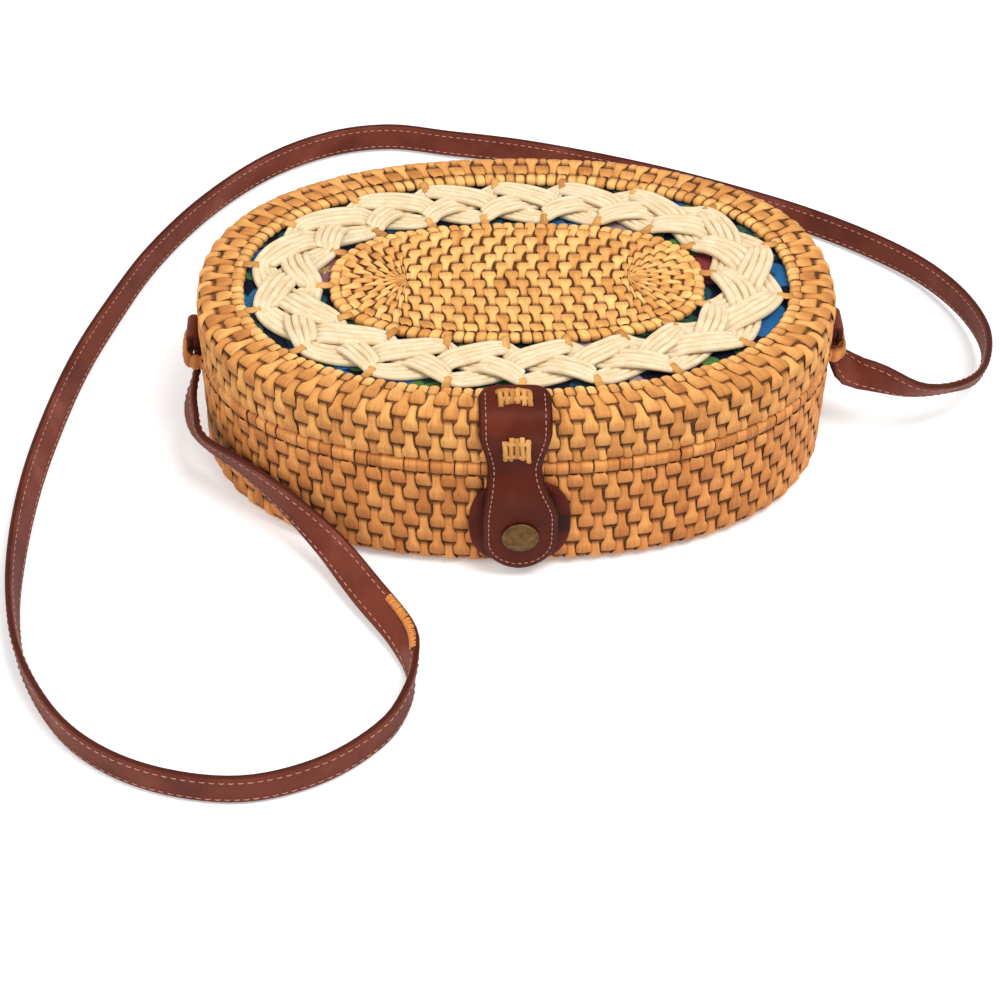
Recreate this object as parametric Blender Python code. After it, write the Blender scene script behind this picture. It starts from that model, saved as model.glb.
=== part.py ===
"""Oval rattan crossbody bag with a hinged lid, a plaited band in the lid and a leather snap tab.

The bag stands on its floor with the origin under its middle: +X along the long axis, -Y to the
front, where the tab closes, and +Z up. Sizes are in metres. Run it in Blender 4.5, from the text
editor or with blender --background --python part.py.
"""

import math

import bmesh
import bpy
from mathutils import Vector

# The bag's outside
BAG_LENGTH = 0.2200
BAG_WIDTH = 0.1440
BASE_DEPTH = 0.0480
LID_DEPTH = 0.0200
# Roundness 1 is an ellipse, and less is squarer
OUTLINE_ROUNDNESS_SHARE = 0.885
MEDALLION_ROUNDNESS_SHARE = 0.794
OVAL_SIDES = 36
CORNER_STEPS = 4

# The woven walls and their bound edges
WALL_THICKNESS = 0.0030
FLOOR_THICKNESS = 0.0030
FOOT_RADIUS = 0.0060
FOOT_WIDTH = 0.0110
FOOT_SCARF = 0.0030
TOP_CORNER_RADIUS = 0.0045
EDGE_BEVEL = 0.0007
ROW_GROOVE_DEPTH = 0.0005
LID_WALL_ROWS = 2
RIM_ROWS = 2
HOOP_DIAMETER = 0.0032
HOOP_SIDES = 6
SEAM_GAP = 0.0003
GAP = 0.0003
CUT_OVERRUN = 0.0020

# The lid's open top
RIM_WIDTH = 0.0160
MEDALLION_LENGTH = 0.1294
MEDALLION_WIDTH = 0.0636
MEDALLION_ROW_WIDTH = 0.0045

# The plaited band between the rim and the medallion
PLAIT_STRANDS = ("a", "b", "c")
BAND_PERIODS = 6
BAND_STEPS = 12
BAND_TURN_SHARE = 0.30
BAND_STRAND_WIDTH = 0.0072
BAND_STRAND_THICKNESS = 0.0014
BAND_CROSSING_LIFT = 0.00150
BAND_EDGE_GAP = 0.0004
BAND_FINE_STEPS = 720
BAND_TRACK_STEPS = 10
BAND_STEEPNESS_SHARE = 0.05

# The small ata ties that hold each lobe of the plait to the rim or the medallion
LOBE_TIE_WIDTH = 0.0022
LOBE_TIE_THICKNESS = 0.0006
LOBE_TIE_GAP = 0.0004
OUTER_LOBE_SHARE = 0.25
INNER_LOBE_SHARE = 0.75

# The fabric lining
LINING_THICKNESS = 0.0008
HEM_DROP = 0.0036

# The ata ring hinges at the back
HINGE_INSET = 0.0007
RING_SPACING = 0.0540
RING_RADIUS = 0.0056
RING_WIDTH = 0.0052
RING_THICKNESS = 0.0012
RING_SIDES = 16
RING_CLEARANCE = 0.0003

# The leather tab
TAB_THICKNESS = 0.0024
TAB_OVERLAP = 0.0140
TAB_OFFSET = -0.0034
TAB_ROOT_WIDTH = 0.0238
TAB_ROOT_CORNER = 0.0050
TAB_WAIST_WIDTH = 0.0180
TAB_WAIST_REACH_SHARE = 0.65
TAB_BULB_WIDTH = 0.0256
TAB_BULB_HEIGHT = 0.0175
TAB_BULB_REACH_SHARE = 0.70
TAB_BEND_RISE = 0.0010
TAB_EDGE_BEVEL = 0.0005
TAB_STAND_OFF = 0.0013
TAB_LIFT_REACH = 0.0110
TAB_CORNER_STEPS = 4
TAB_FALL_STEPS = 6
TAB_FLAP_STEPS = 9
TAB_BULB_STEPS = 6
TAB_BULB_TURN_SHARE = 0.93

# The leather patch and the snap fastener
PATCH_WIDTH = 0.0342
PATCH_LENGTH = 0.0380
PATCH_ROUNDNESS_SHARE = 0.78
PATCH_SIDES = 20
PATCH_THICKNESS = 0.0014
PATCH_HEIGHT = 0.0225
SNAP_HEIGHT = 0.0200
SNAP_OFFSET = -0.0012
SNAP_CAP_DIAMETER = 0.0125
SNAP_CAP_RISE = 0.0015
SNAP_CAP_EDGE = 0.0006
SNAP_POST_DIAMETER = 0.0030
SNAP_SOCKET_DIAMETER = 0.0096
SNAP_SOCKET_THICKNESS = 0.0015
SNAP_SOCKET_LIP = 0.0004
SNAP_STUD_DIAMETER = 0.0040
SNAP_STUD_NECK_DIAMETER = 0.0033
SNAP_STUD_FLANGE_DIAMETER = 0.0084
SNAP_STUD_FLANGE_THICKNESS = 0.0005
SNAP_STUD_LENGTH = 0.0022
SNAP_RIVET_HEAD_DIAMETER = 0.0070
SNAP_RIVET_HEAD_THICKNESS = 0.0005
SNAP_RIVET_SHANK_DIAMETER = 0.0018
SNAP_FIT = 0.0002
SNAP_SIDES = 16
SNAP_DOME_STEPS = 4

# The ata ties that lash leather to rattan
TIE_STRAND_WIDTH = 0.0026
TIE_THICKNESS = 0.0011
TIE_STRAND_COUNT = 3
TIE_GROOVE_SHARE = 0.3
TIE_ROW_SHARES = ((0.0, 0.5), (0.25, 1.0), (0.75, 1.0))
TIE_PATH_SHARES = ((-1.0, 0.0, 0.0), (-1.0, 0.5, 0.0), (-0.88, 1.0, 0.5), (0.0, 1.2, 1.0),
                   (0.88, 1.0, 0.5), (1.0, 0.5, 0.0), (1.0, 0.0, 0.0))
UPPER_TIE_SPAN = 0.0122
UPPER_TIE_INSET = 0.0080
LOWER_TIE_SPAN = 0.0106
LOWER_TIE_CLEARANCE = 0.0006
PATCH_TIE_SPAN = 0.0080
PATCH_TIE_STRAND_COUNT = 2
PATCH_TIE_RISE = 0.0105
PATCH_TIE_DROP = 0.0130
PATCH_TIE_THICKNESS = 0.0007

# The side loops
LOOP_DROP = 0.0088
LOOP_SPREAD = 0.0172
LOOP_BAND_HEIGHT = 0.0064
LOOP_BAND_THICKNESS = 0.0034
LOOP_OPENING = 0.0034
LOOP_SQUARENESS_SHARE = 0.5
LOOP_STEPS = 14
LOOP_SIDES = 8

# The shoulder strap
STRAP_WIDTH = 0.0120
STRAP_THICKNESS = 0.0022
STRAP_EDGE_BEVEL = 0.0006
STRAP_STATION_SPACING = 0.0180
STOP_HEIGHT = 0.0060
STOP_THICKNESS = 0.0046
JOIN_LENGTH = 0.0200
JOIN_WIDTH = 0.0030
JOIN_THICKNESS = 0.0006
JOIN_GAP = 0.0005

# The strap's centre line from the left loop round to the right one, with the way its width points
STRAP_ROUTE = (
    ((-0.1116, 0.0000, 0.0425), (0.00, 1.00, 0.00)),
    ((-0.1116, 0.0000, 0.0390), (0.00, 1.00, 0.00)),
    ((-0.1117, -0.0002, 0.0345), (0.00, 1.00, 0.00)),
    ((-0.1136, -0.0040, 0.0290), (0.10, 0.95, 0.15)),
    ((-0.1165, -0.0130, 0.0235), (0.10, 0.70, 0.60)),
    ((-0.1145, -0.0270, 0.0185), (0.05, 0.35, 0.90)),
    ((-0.1035, -0.0430, 0.0140), (0.00, 0.25, 0.95)),
    ((-0.0880, -0.0590, 0.0100), (0.05, 0.30, 0.93)),
    ((-0.0700, -0.0750, 0.0075), (0.15, 0.33, 0.92)),
    ((-0.0550, -0.0930, 0.0066), (0.25, 0.28, 0.92)),
    ((-0.0430, -0.1100, 0.0064), (0.20, 0.15, 0.96)),
    ((-0.0385, -0.1230, 0.0064), (0.00, 0.02, 0.99)),
    ((-0.0410, -0.1360, 0.0064), (-0.18, 0.12, 0.97)),
    ((-0.0500, -0.1500, 0.0062), (-0.20, 0.33, 0.92)),
    ((-0.0670, -0.1625, 0.0060), (-0.12, 0.48, 0.87)),
    ((-0.0890, -0.1680, 0.0062), (0.00, 0.45, 0.89)),
    ((-0.1120, -0.1660, 0.0062), (0.10, 0.35, 0.93)),
    ((-0.1330, -0.1570, 0.0062), (0.25, 0.30, 0.92)),
    ((-0.1500, -0.1410, 0.0062), (0.35, 0.20, 0.91)),
    ((-0.1630, -0.1190, 0.0061), (0.45, 0.10, 0.89)),
    ((-0.1705, -0.0930, 0.0060), (0.50, 0.05, 0.86)),
    ((-0.1730, -0.0640, 0.0060), (0.52, 0.00, 0.85)),
    ((-0.1715, -0.0330, 0.0060), (0.52, 0.00, 0.85)),
    ((-0.1670, -0.0020, 0.0060), (0.50, -0.05, 0.86)),
    ((-0.1600, 0.0290, 0.0061), (0.45, -0.10, 0.89)),
    ((-0.1500, 0.0590, 0.0062), (0.35, -0.12, 0.93)),
    ((-0.1360, 0.0910, 0.0063), (0.20, -0.10, 0.97)),
    ((-0.1180, 0.1220, 0.0064), (0.10, -0.08, 0.99)),
    ((-0.0950, 0.1480, 0.0065), (0.05, -0.05, 1.00)),
    ((-0.0700, 0.1640, 0.0065), (0.00, 0.00, 1.00)),
    ((-0.0450, 0.1700, 0.0065), (0.00, 0.00, 1.00)),
    ((-0.0200, 0.1660, 0.0065), (0.00, 0.00, 1.00)),
    ((0.0080, 0.1590, 0.0065), (0.00, 0.00, 1.00)),
    ((0.0370, 0.1500, 0.0065), (0.00, 0.00, 1.00)),
    ((0.0660, 0.1390, 0.0065), (0.00, 0.00, 1.00)),
    ((0.0940, 0.1260, 0.0065), (0.00, 0.00, 1.00)),
    ((0.1200, 0.1120, 0.0065), (0.00, 0.00, 1.00)),
    ((0.1430, 0.0960, 0.0066), (0.00, 0.00, 1.00)),
    ((0.1620, 0.0760, 0.0072), (0.00, 0.00, 1.00)),
    ((0.1740, 0.0530, 0.0090), (-0.05, 0.05, 1.00)),
    ((0.1770, 0.0300, 0.0125), (-0.10, 0.10, 0.99)),
    ((0.1720, 0.0100, 0.0170), (-0.10, 0.25, 0.96)),
    ((0.1600, -0.0030, 0.0210), (0.00, 0.50, 0.87)),
    ((0.1440, -0.0075, 0.0240), (0.00, 0.70, 0.71)),
    ((0.1290, -0.0065, 0.0265), (0.00, 0.85, 0.50)),
    ((0.1180, -0.0025, 0.0300), (0.00, 0.97, 0.20)),
    ((0.1118, -0.0003, 0.0345), (0.00, 1.00, 0.00)),
    ((0.1116, 0.0000, 0.0390), (0.00, 1.00, 0.00)),
    ((0.1116, 0.0000, 0.0425), (0.00, 1.00, 0.00)),
)
JOIN_PLACE = Vector((-0.0430, -0.1100, 0.0064))

# Colours with roughness and metallic value
RATTAN = ("rattan", (0.62, 0.33, 0.10, 1.0), 0.55, 0.0)
ATA_TIE = ("ata_tie", (0.70, 0.38, 0.10, 1.0), 0.50, 0.0)
LEATHER = ("leather", (0.17, 0.035, 0.018, 1.0), 0.45, 0.0)
PATCH_LEATHER = ("patch_leather", (0.10, 0.015, 0.012, 1.0), 0.50, 0.0)
PLAIT_CORD = ("plait_cord", (0.78, 0.70, 0.53, 1.0), 0.80, 0.0)
LINING_CLOTH = ("lining_cloth", (0.02, 0.03, 0.07, 1.0), 0.85, 0.0)
ANTIQUE_BRASS = ("antique_brass", (0.34, 0.26, 0.15, 1.0), 0.38, 1.0)
THREAD = ("thread", (0.75, 0.34, 0.08, 1.0), 0.70, 0.0)
SMOOTH_ANGLE = math.radians(38)

# What turns with the lid, and what turns with the tab's flap
LID_PIECES = (
    "lid_shell", "lid_edge_hoop", "rim_inner_hoop", "lid_medallion", "medallion_hoop",
    "plait_strand_a", "plait_strand_b", "plait_strand_c", "lid_lining_top", "lid_lining_wall",
    "hinge_ring_left", "hinge_ring_right", "tab_root", "tab_tie_upper", "tab_tie_lower",
)
FLAP_PIECES = ("tab_flap", "snap_cap", "snap_socket")

SEAM_HEIGHT = BASE_DEPTH
BAG_HEIGHT = BASE_DEPTH + LID_DEPTH
HALF_LENGTH = BAG_LENGTH / 2
HALF_WIDTH = BAG_WIDTH / 2
HOOP_RADIUS = HOOP_DIAMETER / 2
HINGE_Y = HALF_WIDTH - HINGE_INSET
BASE_WALL_TOP = SEAM_HEIGHT - SEAM_GAP / 2 - HOOP_DIAMETER - GAP
LID_WALL_BOTTOM = SEAM_HEIGHT + SEAM_GAP / 2 + HOOP_DIAMETER + GAP
RIM_UNDERSIDE = BAG_HEIGHT - WALL_THICKNESS
RIM_HOOP_INSET = RIM_WIDTH - HOOP_RADIUS
PLAIT_HEIGHT = BAG_HEIGHT - HOOP_RADIUS + BAND_STRAND_THICKNESS / 2
TAB_BEND_HEIGHT = SEAM_HEIGHT + TAB_BEND_RISE
LOWER_TIE_HEIGHT = LID_WALL_BOTTOM + LOWER_TIE_CLEARANCE + TIE_STRAND_COUNT * TIE_STRAND_WIDTH / 2
LOOP_HEIGHT = SEAM_HEIGHT - LOOP_DROP
FRONT_OF_WALL = -HALF_WIDTH
FRONT_OF_PATCH = FRONT_OF_WALL - GAP - PATCH_THICKNESS
BACK_OF_FLAP = FRONT_OF_PATCH - TAB_STAND_OFF
FRONT_OF_FLAP = BACK_OF_FLAP - TAB_THICKNESS
UP = Vector((0.0, 0.0, 1.0))
OUTWARD = Vector((0.0, -1.0, 0.0))
ACROSS = Vector((1.0, 0.0, 0.0))


def clear_scene():
    """Remove every object that the file holds."""
    for thing in list(bpy.data.objects):
        bpy.data.objects.remove(thing, do_unlink=True)


def material(finish):
    """Return the material of one finish, made the first time it is asked for."""
    name, colour, roughness, metallic = finish
    found = bpy.data.materials.get(name)
    if found:
        return found
    made = bpy.data.materials.new(name)
    made.use_nodes = True
    shader = made.node_tree.nodes["Principled BSDF"]
    shader.inputs["Base Color"].default_value = colour
    shader.inputs["Roughness"].default_value = roughness
    shader.inputs["Metallic"].default_value = metallic
    made.diffuse_color = colour
    return made


def solid(name, points, faces, finish, origin=Vector()):
    """Make one named object from points and faces, with its own origin and outward normals."""
    mesh = bpy.data.meshes.new(name)
    mesh.from_pydata([tuple(Vector(point) - origin) for point in points], [], faces)
    shape = bmesh.new()
    shape.from_mesh(mesh)
    bmesh.ops.recalc_face_normals(shape, faces=shape.faces)
    shape.to_mesh(mesh)
    shape.free()
    mesh.shade_smooth()
    mesh.set_sharp_from_angle(angle=SMOOTH_ANGLE)
    thing = bpy.data.objects.new(name, mesh)
    thing.location = origin
    bpy.context.scene.collection.objects.link(thing)
    if finish:
        mesh.materials.append(material(finish))
    return thing


def loop_faces(rings, size, closed):
    """Join rings of equal size into a skin: a closed chain, or a capped one."""
    faces = []
    for ring in range(rings if closed else rings - 1):
        following = (ring + 1) % rings
        for step in range(size):
            ahead = (step + 1) % size
            faces.append((
                ring * size + step,
                ring * size + ahead,
                following * size + ahead,
                following * size + step,
            ))
    if not closed:
        faces.append(tuple(range(size))[::-1])
        faces.append(tuple(range((rings - 1) * size, rings * size)))
    return faces


def cut(target, cutter, operation="DIFFERENCE"):
    """Cut one object with a guide that stays out of the model, or join it with one."""
    change = target.modifiers.new(cutter.name, "BOOLEAN")
    change.operation = operation
    change.solver = "EXACT"
    change.object = cutter
    cutter.hide_render = True
    cutter.display_type = "WIRE"


def oval_point(angle, half_length, half_width, roundness_share, height=0.0):
    """Return a point of a rounded oval, round or a little square at its corners."""
    along, aside = math.cos(angle), math.sin(angle)
    return Vector((
        half_length * math.copysign(abs(along) ** roundness_share, along),
        half_width * math.copysign(abs(aside) ** roundness_share, aside),
        height,
    ))


def oval_ring(name, profile, finish, size, roundness_share):
    """Carry a closed profile of (inset, height) points round the oval of one half size."""
    half_length, half_width = size
    points = []
    for side in range(OVAL_SIDES):
        angle = math.tau * side / OVAL_SIDES
        for inset, height in profile:
            points.append(oval_point(
                angle, half_length - inset, half_width - inset, roundness_share, height
            ))
    return solid(name, points, loop_faces(OVAL_SIDES, len(profile), True), finish)


def oval_plate(name, profile, finish, size, roundness_share):
    """Stack ovals at (inset, height) into a closed plate."""
    half_length, half_width = size
    points = []
    for inset, height in profile:
        for side in range(OVAL_SIDES):
            angle = math.tau * side / OVAL_SIDES
            points.append(oval_point(
                angle, half_length - inset, half_width - inset, roundness_share, height
            ))
    return solid(name, points, loop_faces(len(profile), OVAL_SIDES, False), finish)


def corner_arc(inset, height, radius, start, end, steps=CORNER_STEPS):
    """Return the (inset, height) points of a rounded corner round one centre."""
    arc = []
    for step in range(steps + 1):
        angle = start + (end - start) * step / steps
        arc.append((inset + radius * math.cos(angle), height + radius * math.sin(angle)))
    return arc


def woven_rows(start, end, count):
    """Return a run of (inset, height) points from groove to groove, with a crown on each row."""
    run = Vector(end) - Vector(start)
    inward = Vector((run.y, -run.x)).normalized() * ROW_GROOVE_DEPTH
    points = []
    for half_row in range(2 * count + 1):
        point = Vector(start) + run * (half_row / (2 * count))
        points.append(tuple(point if half_row % 2 else point + inward))
    return points


def hoop(name, size, roundness_share, inset, height):
    """Make a bound edge: a round hoop that follows the oval."""
    profile = []
    for side in range(HOOP_SIDES):
        angle = math.tau * (side + 0.5) / HOOP_SIDES
        profile.append((
            inset + HOOP_RADIUS * math.cos(angle),
            height + HOOP_RADIUS * math.sin(angle),
        ))
    return oval_ring(name, profile, RATTAN, size, roundness_share)


def ribbon(name, stations, finish, bevel, closed=False, flat_edges=True):
    """Sweep a flat band through stations of centre, width way, face way and half sizes."""
    points = []
    size = 8 if flat_edges else 6
    for centre, width_way, face_way, half_width, half_depth in stations:
        shoulder = half_width - min(bevel, half_width / 2)
        edge = half_depth - min(bevel, half_depth / 2)
        outline = [
            (-half_width, edge), (-shoulder, half_depth), (shoulder, half_depth),
            (half_width, edge), (half_width, -edge), (shoulder, -half_depth),
            (-shoulder, -half_depth), (-half_width, -edge),
        ]
        if not flat_edges:
            outline = [
                (-half_width, 0.0), (-shoulder, half_depth), (shoulder, half_depth),
                (half_width, 0.0), (shoulder, -half_depth), (-shoulder, -half_depth),
            ]
        for aside, out in outline:
            points.append(centre + width_way * aside + face_way * out)
    return solid(name, points, loop_faces(len(stations), size, closed), finish)


def turned(name, profile, finish, height, across=0.0):
    """Turn (radius, y) points about a line along Y at one height: a fastener's body."""
    points = []
    faces = []
    rings = []
    for radius, depth in profile:
        if radius == 0.0:
            rings.append([len(points)])
            points.append(Vector((across, depth, height)))
            continue
        rings.append(list(range(len(points), len(points) + SNAP_SIDES)))
        for side in range(SNAP_SIDES):
            angle = math.tau * side / SNAP_SIDES
            points.append(Vector((
                across + radius * math.cos(angle),
                depth,
                height + radius * math.sin(angle),
            )))
    chain = list(zip(rings, rings[1:]))
    if len(rings[0]) > 1:
        chain.append((rings[-1], rings[0]))
    for here, there in chain:
        for side in range(SNAP_SIDES):
            ahead = (side + 1) % SNAP_SIDES
            if len(here) == 1:
                faces.append((here[0], there[ahead], there[side]))
            elif len(there) == 1:
                faces.append((here[side], here[ahead], there[0]))
            else:
                faces.append((here[side], here[ahead], there[ahead], there[side]))
    return solid(name, points, faces, finish)


def smooth(share):
    """Ease a share from 0 to 1."""
    share = max(0.0, min(1.0, share))
    return share * share * (3 - 2 * share)


def make_base():
    """Make the lower basket: its wall with the turned-in foot, its floor and its top hoop."""
    size = (HALF_LENGTH, HALF_WIDTH)
    arc = corner_arc(FOOT_RADIUS, FOOT_RADIUS, FOOT_RADIUS, math.pi, math.pi * 3 / 2)
    inner_radius = FOOT_RADIUS - WALL_THICKNESS
    inner_arc = corner_arc(FOOT_RADIUS, FOOT_RADIUS, inner_radius, math.pi * 3 / 2, math.pi,
                           CORNER_STEPS // 2)
    profile = [(0.0, BASE_WALL_TOP), *arc, (FOOT_WIDTH, 0.0),
               (FOOT_WIDTH - FOOT_SCARF, FLOOR_THICKNESS), *inner_arc,
               (WALL_THICKNESS, BASE_WALL_TOP)]
    wall = oval_ring("base_wall", profile, RATTAN, size, OUTLINE_ROUNDNESS_SHARE)
    floor_profile = [(FOOT_WIDTH + GAP, 0.0), (FOOT_WIDTH - FOOT_SCARF + GAP, FLOOR_THICKNESS)]
    oval_plate("base_floor", floor_profile, RATTAN, size, OUTLINE_ROUNDNESS_SHARE)
    hoop("base_edge_hoop", size, OUTLINE_ROUNDNESS_SHARE, HOOP_RADIUS,
         SEAM_HEIGHT - SEAM_GAP / 2 - HOOP_RADIUS)
    return wall


def make_base_lining():
    """Line the lower basket with cloth: a wall strip with its hem and a floor panel."""
    size = (HALF_LENGTH, HALF_WIDTH)
    outside = WALL_THICKNESS + GAP
    inside = outside + LINING_THICKNESS
    bottom = FOOT_RADIUS + GAP
    floor_top = FLOOR_THICKNESS + GAP + LINING_THICKNESS
    foot = FOOT_RADIUS - WALL_THICKNESS
    profile = [
        (outside, SEAM_HEIGHT - HEM_DROP), (outside, bottom),
        (WALL_THICKNESS + foot + GAP, FLOOR_THICKNESS + GAP),
        (WALL_THICKNESS + foot + GAP + LINING_THICKNESS, FLOOR_THICKNESS + GAP),
        (WALL_THICKNESS + foot + GAP + LINING_THICKNESS, floor_top),
        (inside, bottom + LINING_THICKNESS), (inside, SEAM_HEIGHT - HEM_DROP),
    ]
    wall = oval_ring("base_lining_wall", profile, LINING_CLOTH, size, OUTLINE_ROUNDNESS_SHARE)
    edge = WALL_THICKNESS + foot + 2 * GAP + LINING_THICKNESS
    oval_plate("base_lining_floor", [(edge, FLOOR_THICKNESS + GAP), (edge, floor_top)],
               LINING_CLOTH, size, OUTLINE_ROUNDNESS_SHARE)
    return wall


def make_lid():
    """Make the lid's woven shell, which turns over at the top into the flat rim, and its hoops."""
    size = (HALF_LENGTH, HALF_WIDTH)
    plate_edge = RIM_WIDTH - HOOP_DIAMETER - GAP
    arc = corner_arc(TOP_CORNER_RADIUS, BAG_HEIGHT - TOP_CORNER_RADIUS, TOP_CORNER_RADIUS,
                     math.pi, math.pi / 2)
    fall = woven_rows((0.0, LID_WALL_BOTTOM), arc[0], LID_WALL_ROWS)
    rim = woven_rows(arc[-1], (plate_edge, BAG_HEIGHT), RIM_ROWS)
    profile = [*fall, *arc[1:-1], *rim,
               (plate_edge, RIM_UNDERSIDE), (WALL_THICKNESS, RIM_UNDERSIDE),
               (WALL_THICKNESS, LID_WALL_BOTTOM)]
    shell = oval_ring("lid_shell", profile, RATTAN, size, OUTLINE_ROUNDNESS_SHARE)
    hoop("lid_edge_hoop", size, OUTLINE_ROUNDNESS_SHARE, HOOP_RADIUS,
         SEAM_HEIGHT + SEAM_GAP / 2 + HOOP_RADIUS)
    rim_hoop = hoop("rim_inner_hoop", size, OUTLINE_ROUNDNESS_SHARE, RIM_HOOP_INSET,
                    BAG_HEIGHT - HOOP_RADIUS)
    return shell, rim_hoop


def make_medallion():
    """Make the woven oval in the middle of the lid and its bound edge."""
    size = (MEDALLION_LENGTH / 2, MEDALLION_WIDTH / 2)
    edge = HOOP_DIAMETER + GAP
    rows = int((MEDALLION_WIDTH / 2 - edge) / MEDALLION_ROW_WIDTH)
    middle = edge + rows * MEDALLION_ROW_WIDTH
    face = woven_rows((edge, BAG_HEIGHT), (middle, BAG_HEIGHT), rows)
    profile = [(edge, RIM_UNDERSIDE), *face[:-1]]
    oval_plate("lid_medallion", profile, RATTAN, size, MEDALLION_ROUNDNESS_SHARE)
    return hoop("medallion_hoop", size, MEDALLION_ROUNDNESS_SHARE, HOOP_RADIUS,
                BAG_HEIGHT - HOOP_RADIUS)


def make_lid_lining():
    """Line the lid: a panel under the open top and a strip down the wall."""
    size = (HALF_LENGTH, HALF_WIDTH)
    outside = WALL_THICKNESS + GAP
    panel_top = BAG_HEIGHT - HOOP_DIAMETER - GAP
    panel_bottom = panel_top - LINING_THICKNESS
    oval_plate("lid_lining_top", [(outside, panel_bottom), (outside, panel_top)],
               LINING_CLOTH, size, OUTLINE_ROUNDNESS_SHARE)
    inside = outside + LINING_THICKNESS
    top = panel_bottom - GAP
    bottom = SEAM_HEIGHT + HEM_DROP
    profile = [(outside, bottom), (outside, top), (inside, top), (inside, bottom)]
    return oval_ring("lid_lining_wall", profile, LINING_CLOTH, size, OUTLINE_ROUNDNESS_SHARE)


def band_track(steps):
    """Return points that run round between the rim and the medallion at an even pace."""
    inner_edge = (MEDALLION_LENGTH / 2 + BAND_EDGE_GAP, MEDALLION_WIDTH / 2 + BAND_EDGE_GAP)
    outer_edge = (HALF_LENGTH - RIM_WIDTH - BAND_EDGE_GAP, HALF_WIDTH - RIM_WIDTH - BAND_EDGE_GAP)
    pairs = []
    travelled = [0.0]
    for step in range(BAND_FINE_STEPS + 1):
        angle = math.tau * step / BAND_FINE_STEPS
        inner = oval_point(angle, *inner_edge, MEDALLION_ROUNDNESS_SHARE)
        outer = oval_point(angle, *outer_edge, OUTLINE_ROUNDNESS_SHARE)
        pairs.append((inner, outer))
        if step:
            middle = (inner + outer) / 2
            before = (pairs[-2][0] + pairs[-2][1]) / 2
            travelled.append(travelled[-1] + (middle - before).length)
    track = []
    place = 0
    for step in range(steps):
        wanted = travelled[-1] * step / steps
        while travelled[place + 1] < wanted:
            place += 1
        share = (wanted - travelled[place]) / (travelled[place + 1] - travelled[place])
        track.append(tuple(
            pairs[place][side].lerp(pairs[place + 1][side], share) for side in (0, 1)
        ))
    return track


def strand_stations(strand):
    """Return a strand's stations: it swings from rim to medallion, over one and under one.

    It runs long through the middle of the band and turns short at its lobes.
    """
    centres = []
    track = band_track(BAND_PERIODS * BAND_STEPS * BAND_TRACK_STEPS)
    for step in range(BAND_PERIODS * BAND_STEPS):
        phase = math.tau * step / BAND_STEPS
        turns = phase + BAND_TURN_SHARE * math.sin(2 * phase) / 2
        gone = turns / math.tau - strand / len(PLAIT_STRANDS)
        inner, outer = track[round(gone * BAND_STEPS * BAND_TRACK_STEPS) % len(track)]
        room = (outer - inner).length
        reach = (room - BAND_STRAND_WIDTH) / room
        wave = math.sin(2 * phase)
        lift = wave / math.sqrt(wave * wave + BAND_STEEPNESS_SHARE)
        lift *= math.sqrt(1 + BAND_STEEPNESS_SHARE)
        centre = inner.lerp(outer, (1 + reach * math.sin(phase)) / 2)
        centre.z = PLAIT_HEIGHT + BAND_CROSSING_LIFT * lift
        centres.append(centre)
    stations = []
    for step, centre in enumerate(centres):
        way = (centres[(step + 1) % len(centres)] - centres[step - 1]).normalized()
        width_way = way.cross(UP).normalized()
        stations.append((centre, width_way, width_way.cross(way),
                         BAND_STRAND_WIDTH / 2, BAND_STRAND_THICKNESS / 2))
    return stations


def make_plait():
    """Plait three endless strands round the medallion."""
    for strand, letter in enumerate(PLAIT_STRANDS):
        ribbon("plait_strand_" + letter, strand_stations(strand), PLAIT_CORD,
               BAND_STRAND_THICKNESS / 2, closed=True, flat_edges=False)


def tie_lobes(hoop_piece, lobe_share, side):
    """Fuse an ata strip to a bound edge round each lobe of the plait on one side of the band."""
    half = LOBE_TIE_THICKNESS / 2
    over = BAND_STRAND_THICKNESS / 2 + LOBE_TIE_GAP + half
    root = -BAND_EDGE_GAP - HOOP_RADIUS / 2
    far = BAND_STRAND_WIDTH + LOBE_TIE_GAP + half
    path = ((root, (HOOP_RADIUS - BAND_STRAND_THICKNESS) / 2), (half, over), (far, over),
            (far, -over), (root, -over))
    points = []
    faces = []
    for strand in range(len(PLAIT_STRANDS)):
        stations = strand_stations(strand)
        for period in range(BAND_PERIODS):
            middle, width_way, face_way, half_width, _ = stations[
                round(BAND_STEPS * (period + lobe_share))]
            away = width_way * -side
            along = face_way.cross(width_way)
            first = len(points)
            for place, (reach, rise) in enumerate(path):
                before = path[max(place - 1, 0)]
                after = path[min(place + 1, len(path) - 1)]
                way = away * (after[0] - before[0]) + face_way * (after[1] - before[1])
                skin = along.cross(way).normalized() * half
                centre = middle + away * (reach - half_width) + face_way * rise
                aside = along * (LOBE_TIE_WIDTH / 2)
                points += [centre - aside - skin, centre - aside + skin,
                           centre + aside + skin, centre + aside - skin]
            faces += [tuple(first + corner for corner in face)
                      for face in loop_faces(len(path), 4, False)]
    cut(hoop_piece, solid(hoop_piece.name + "_ties", points, faces, None), "UNION")


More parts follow.
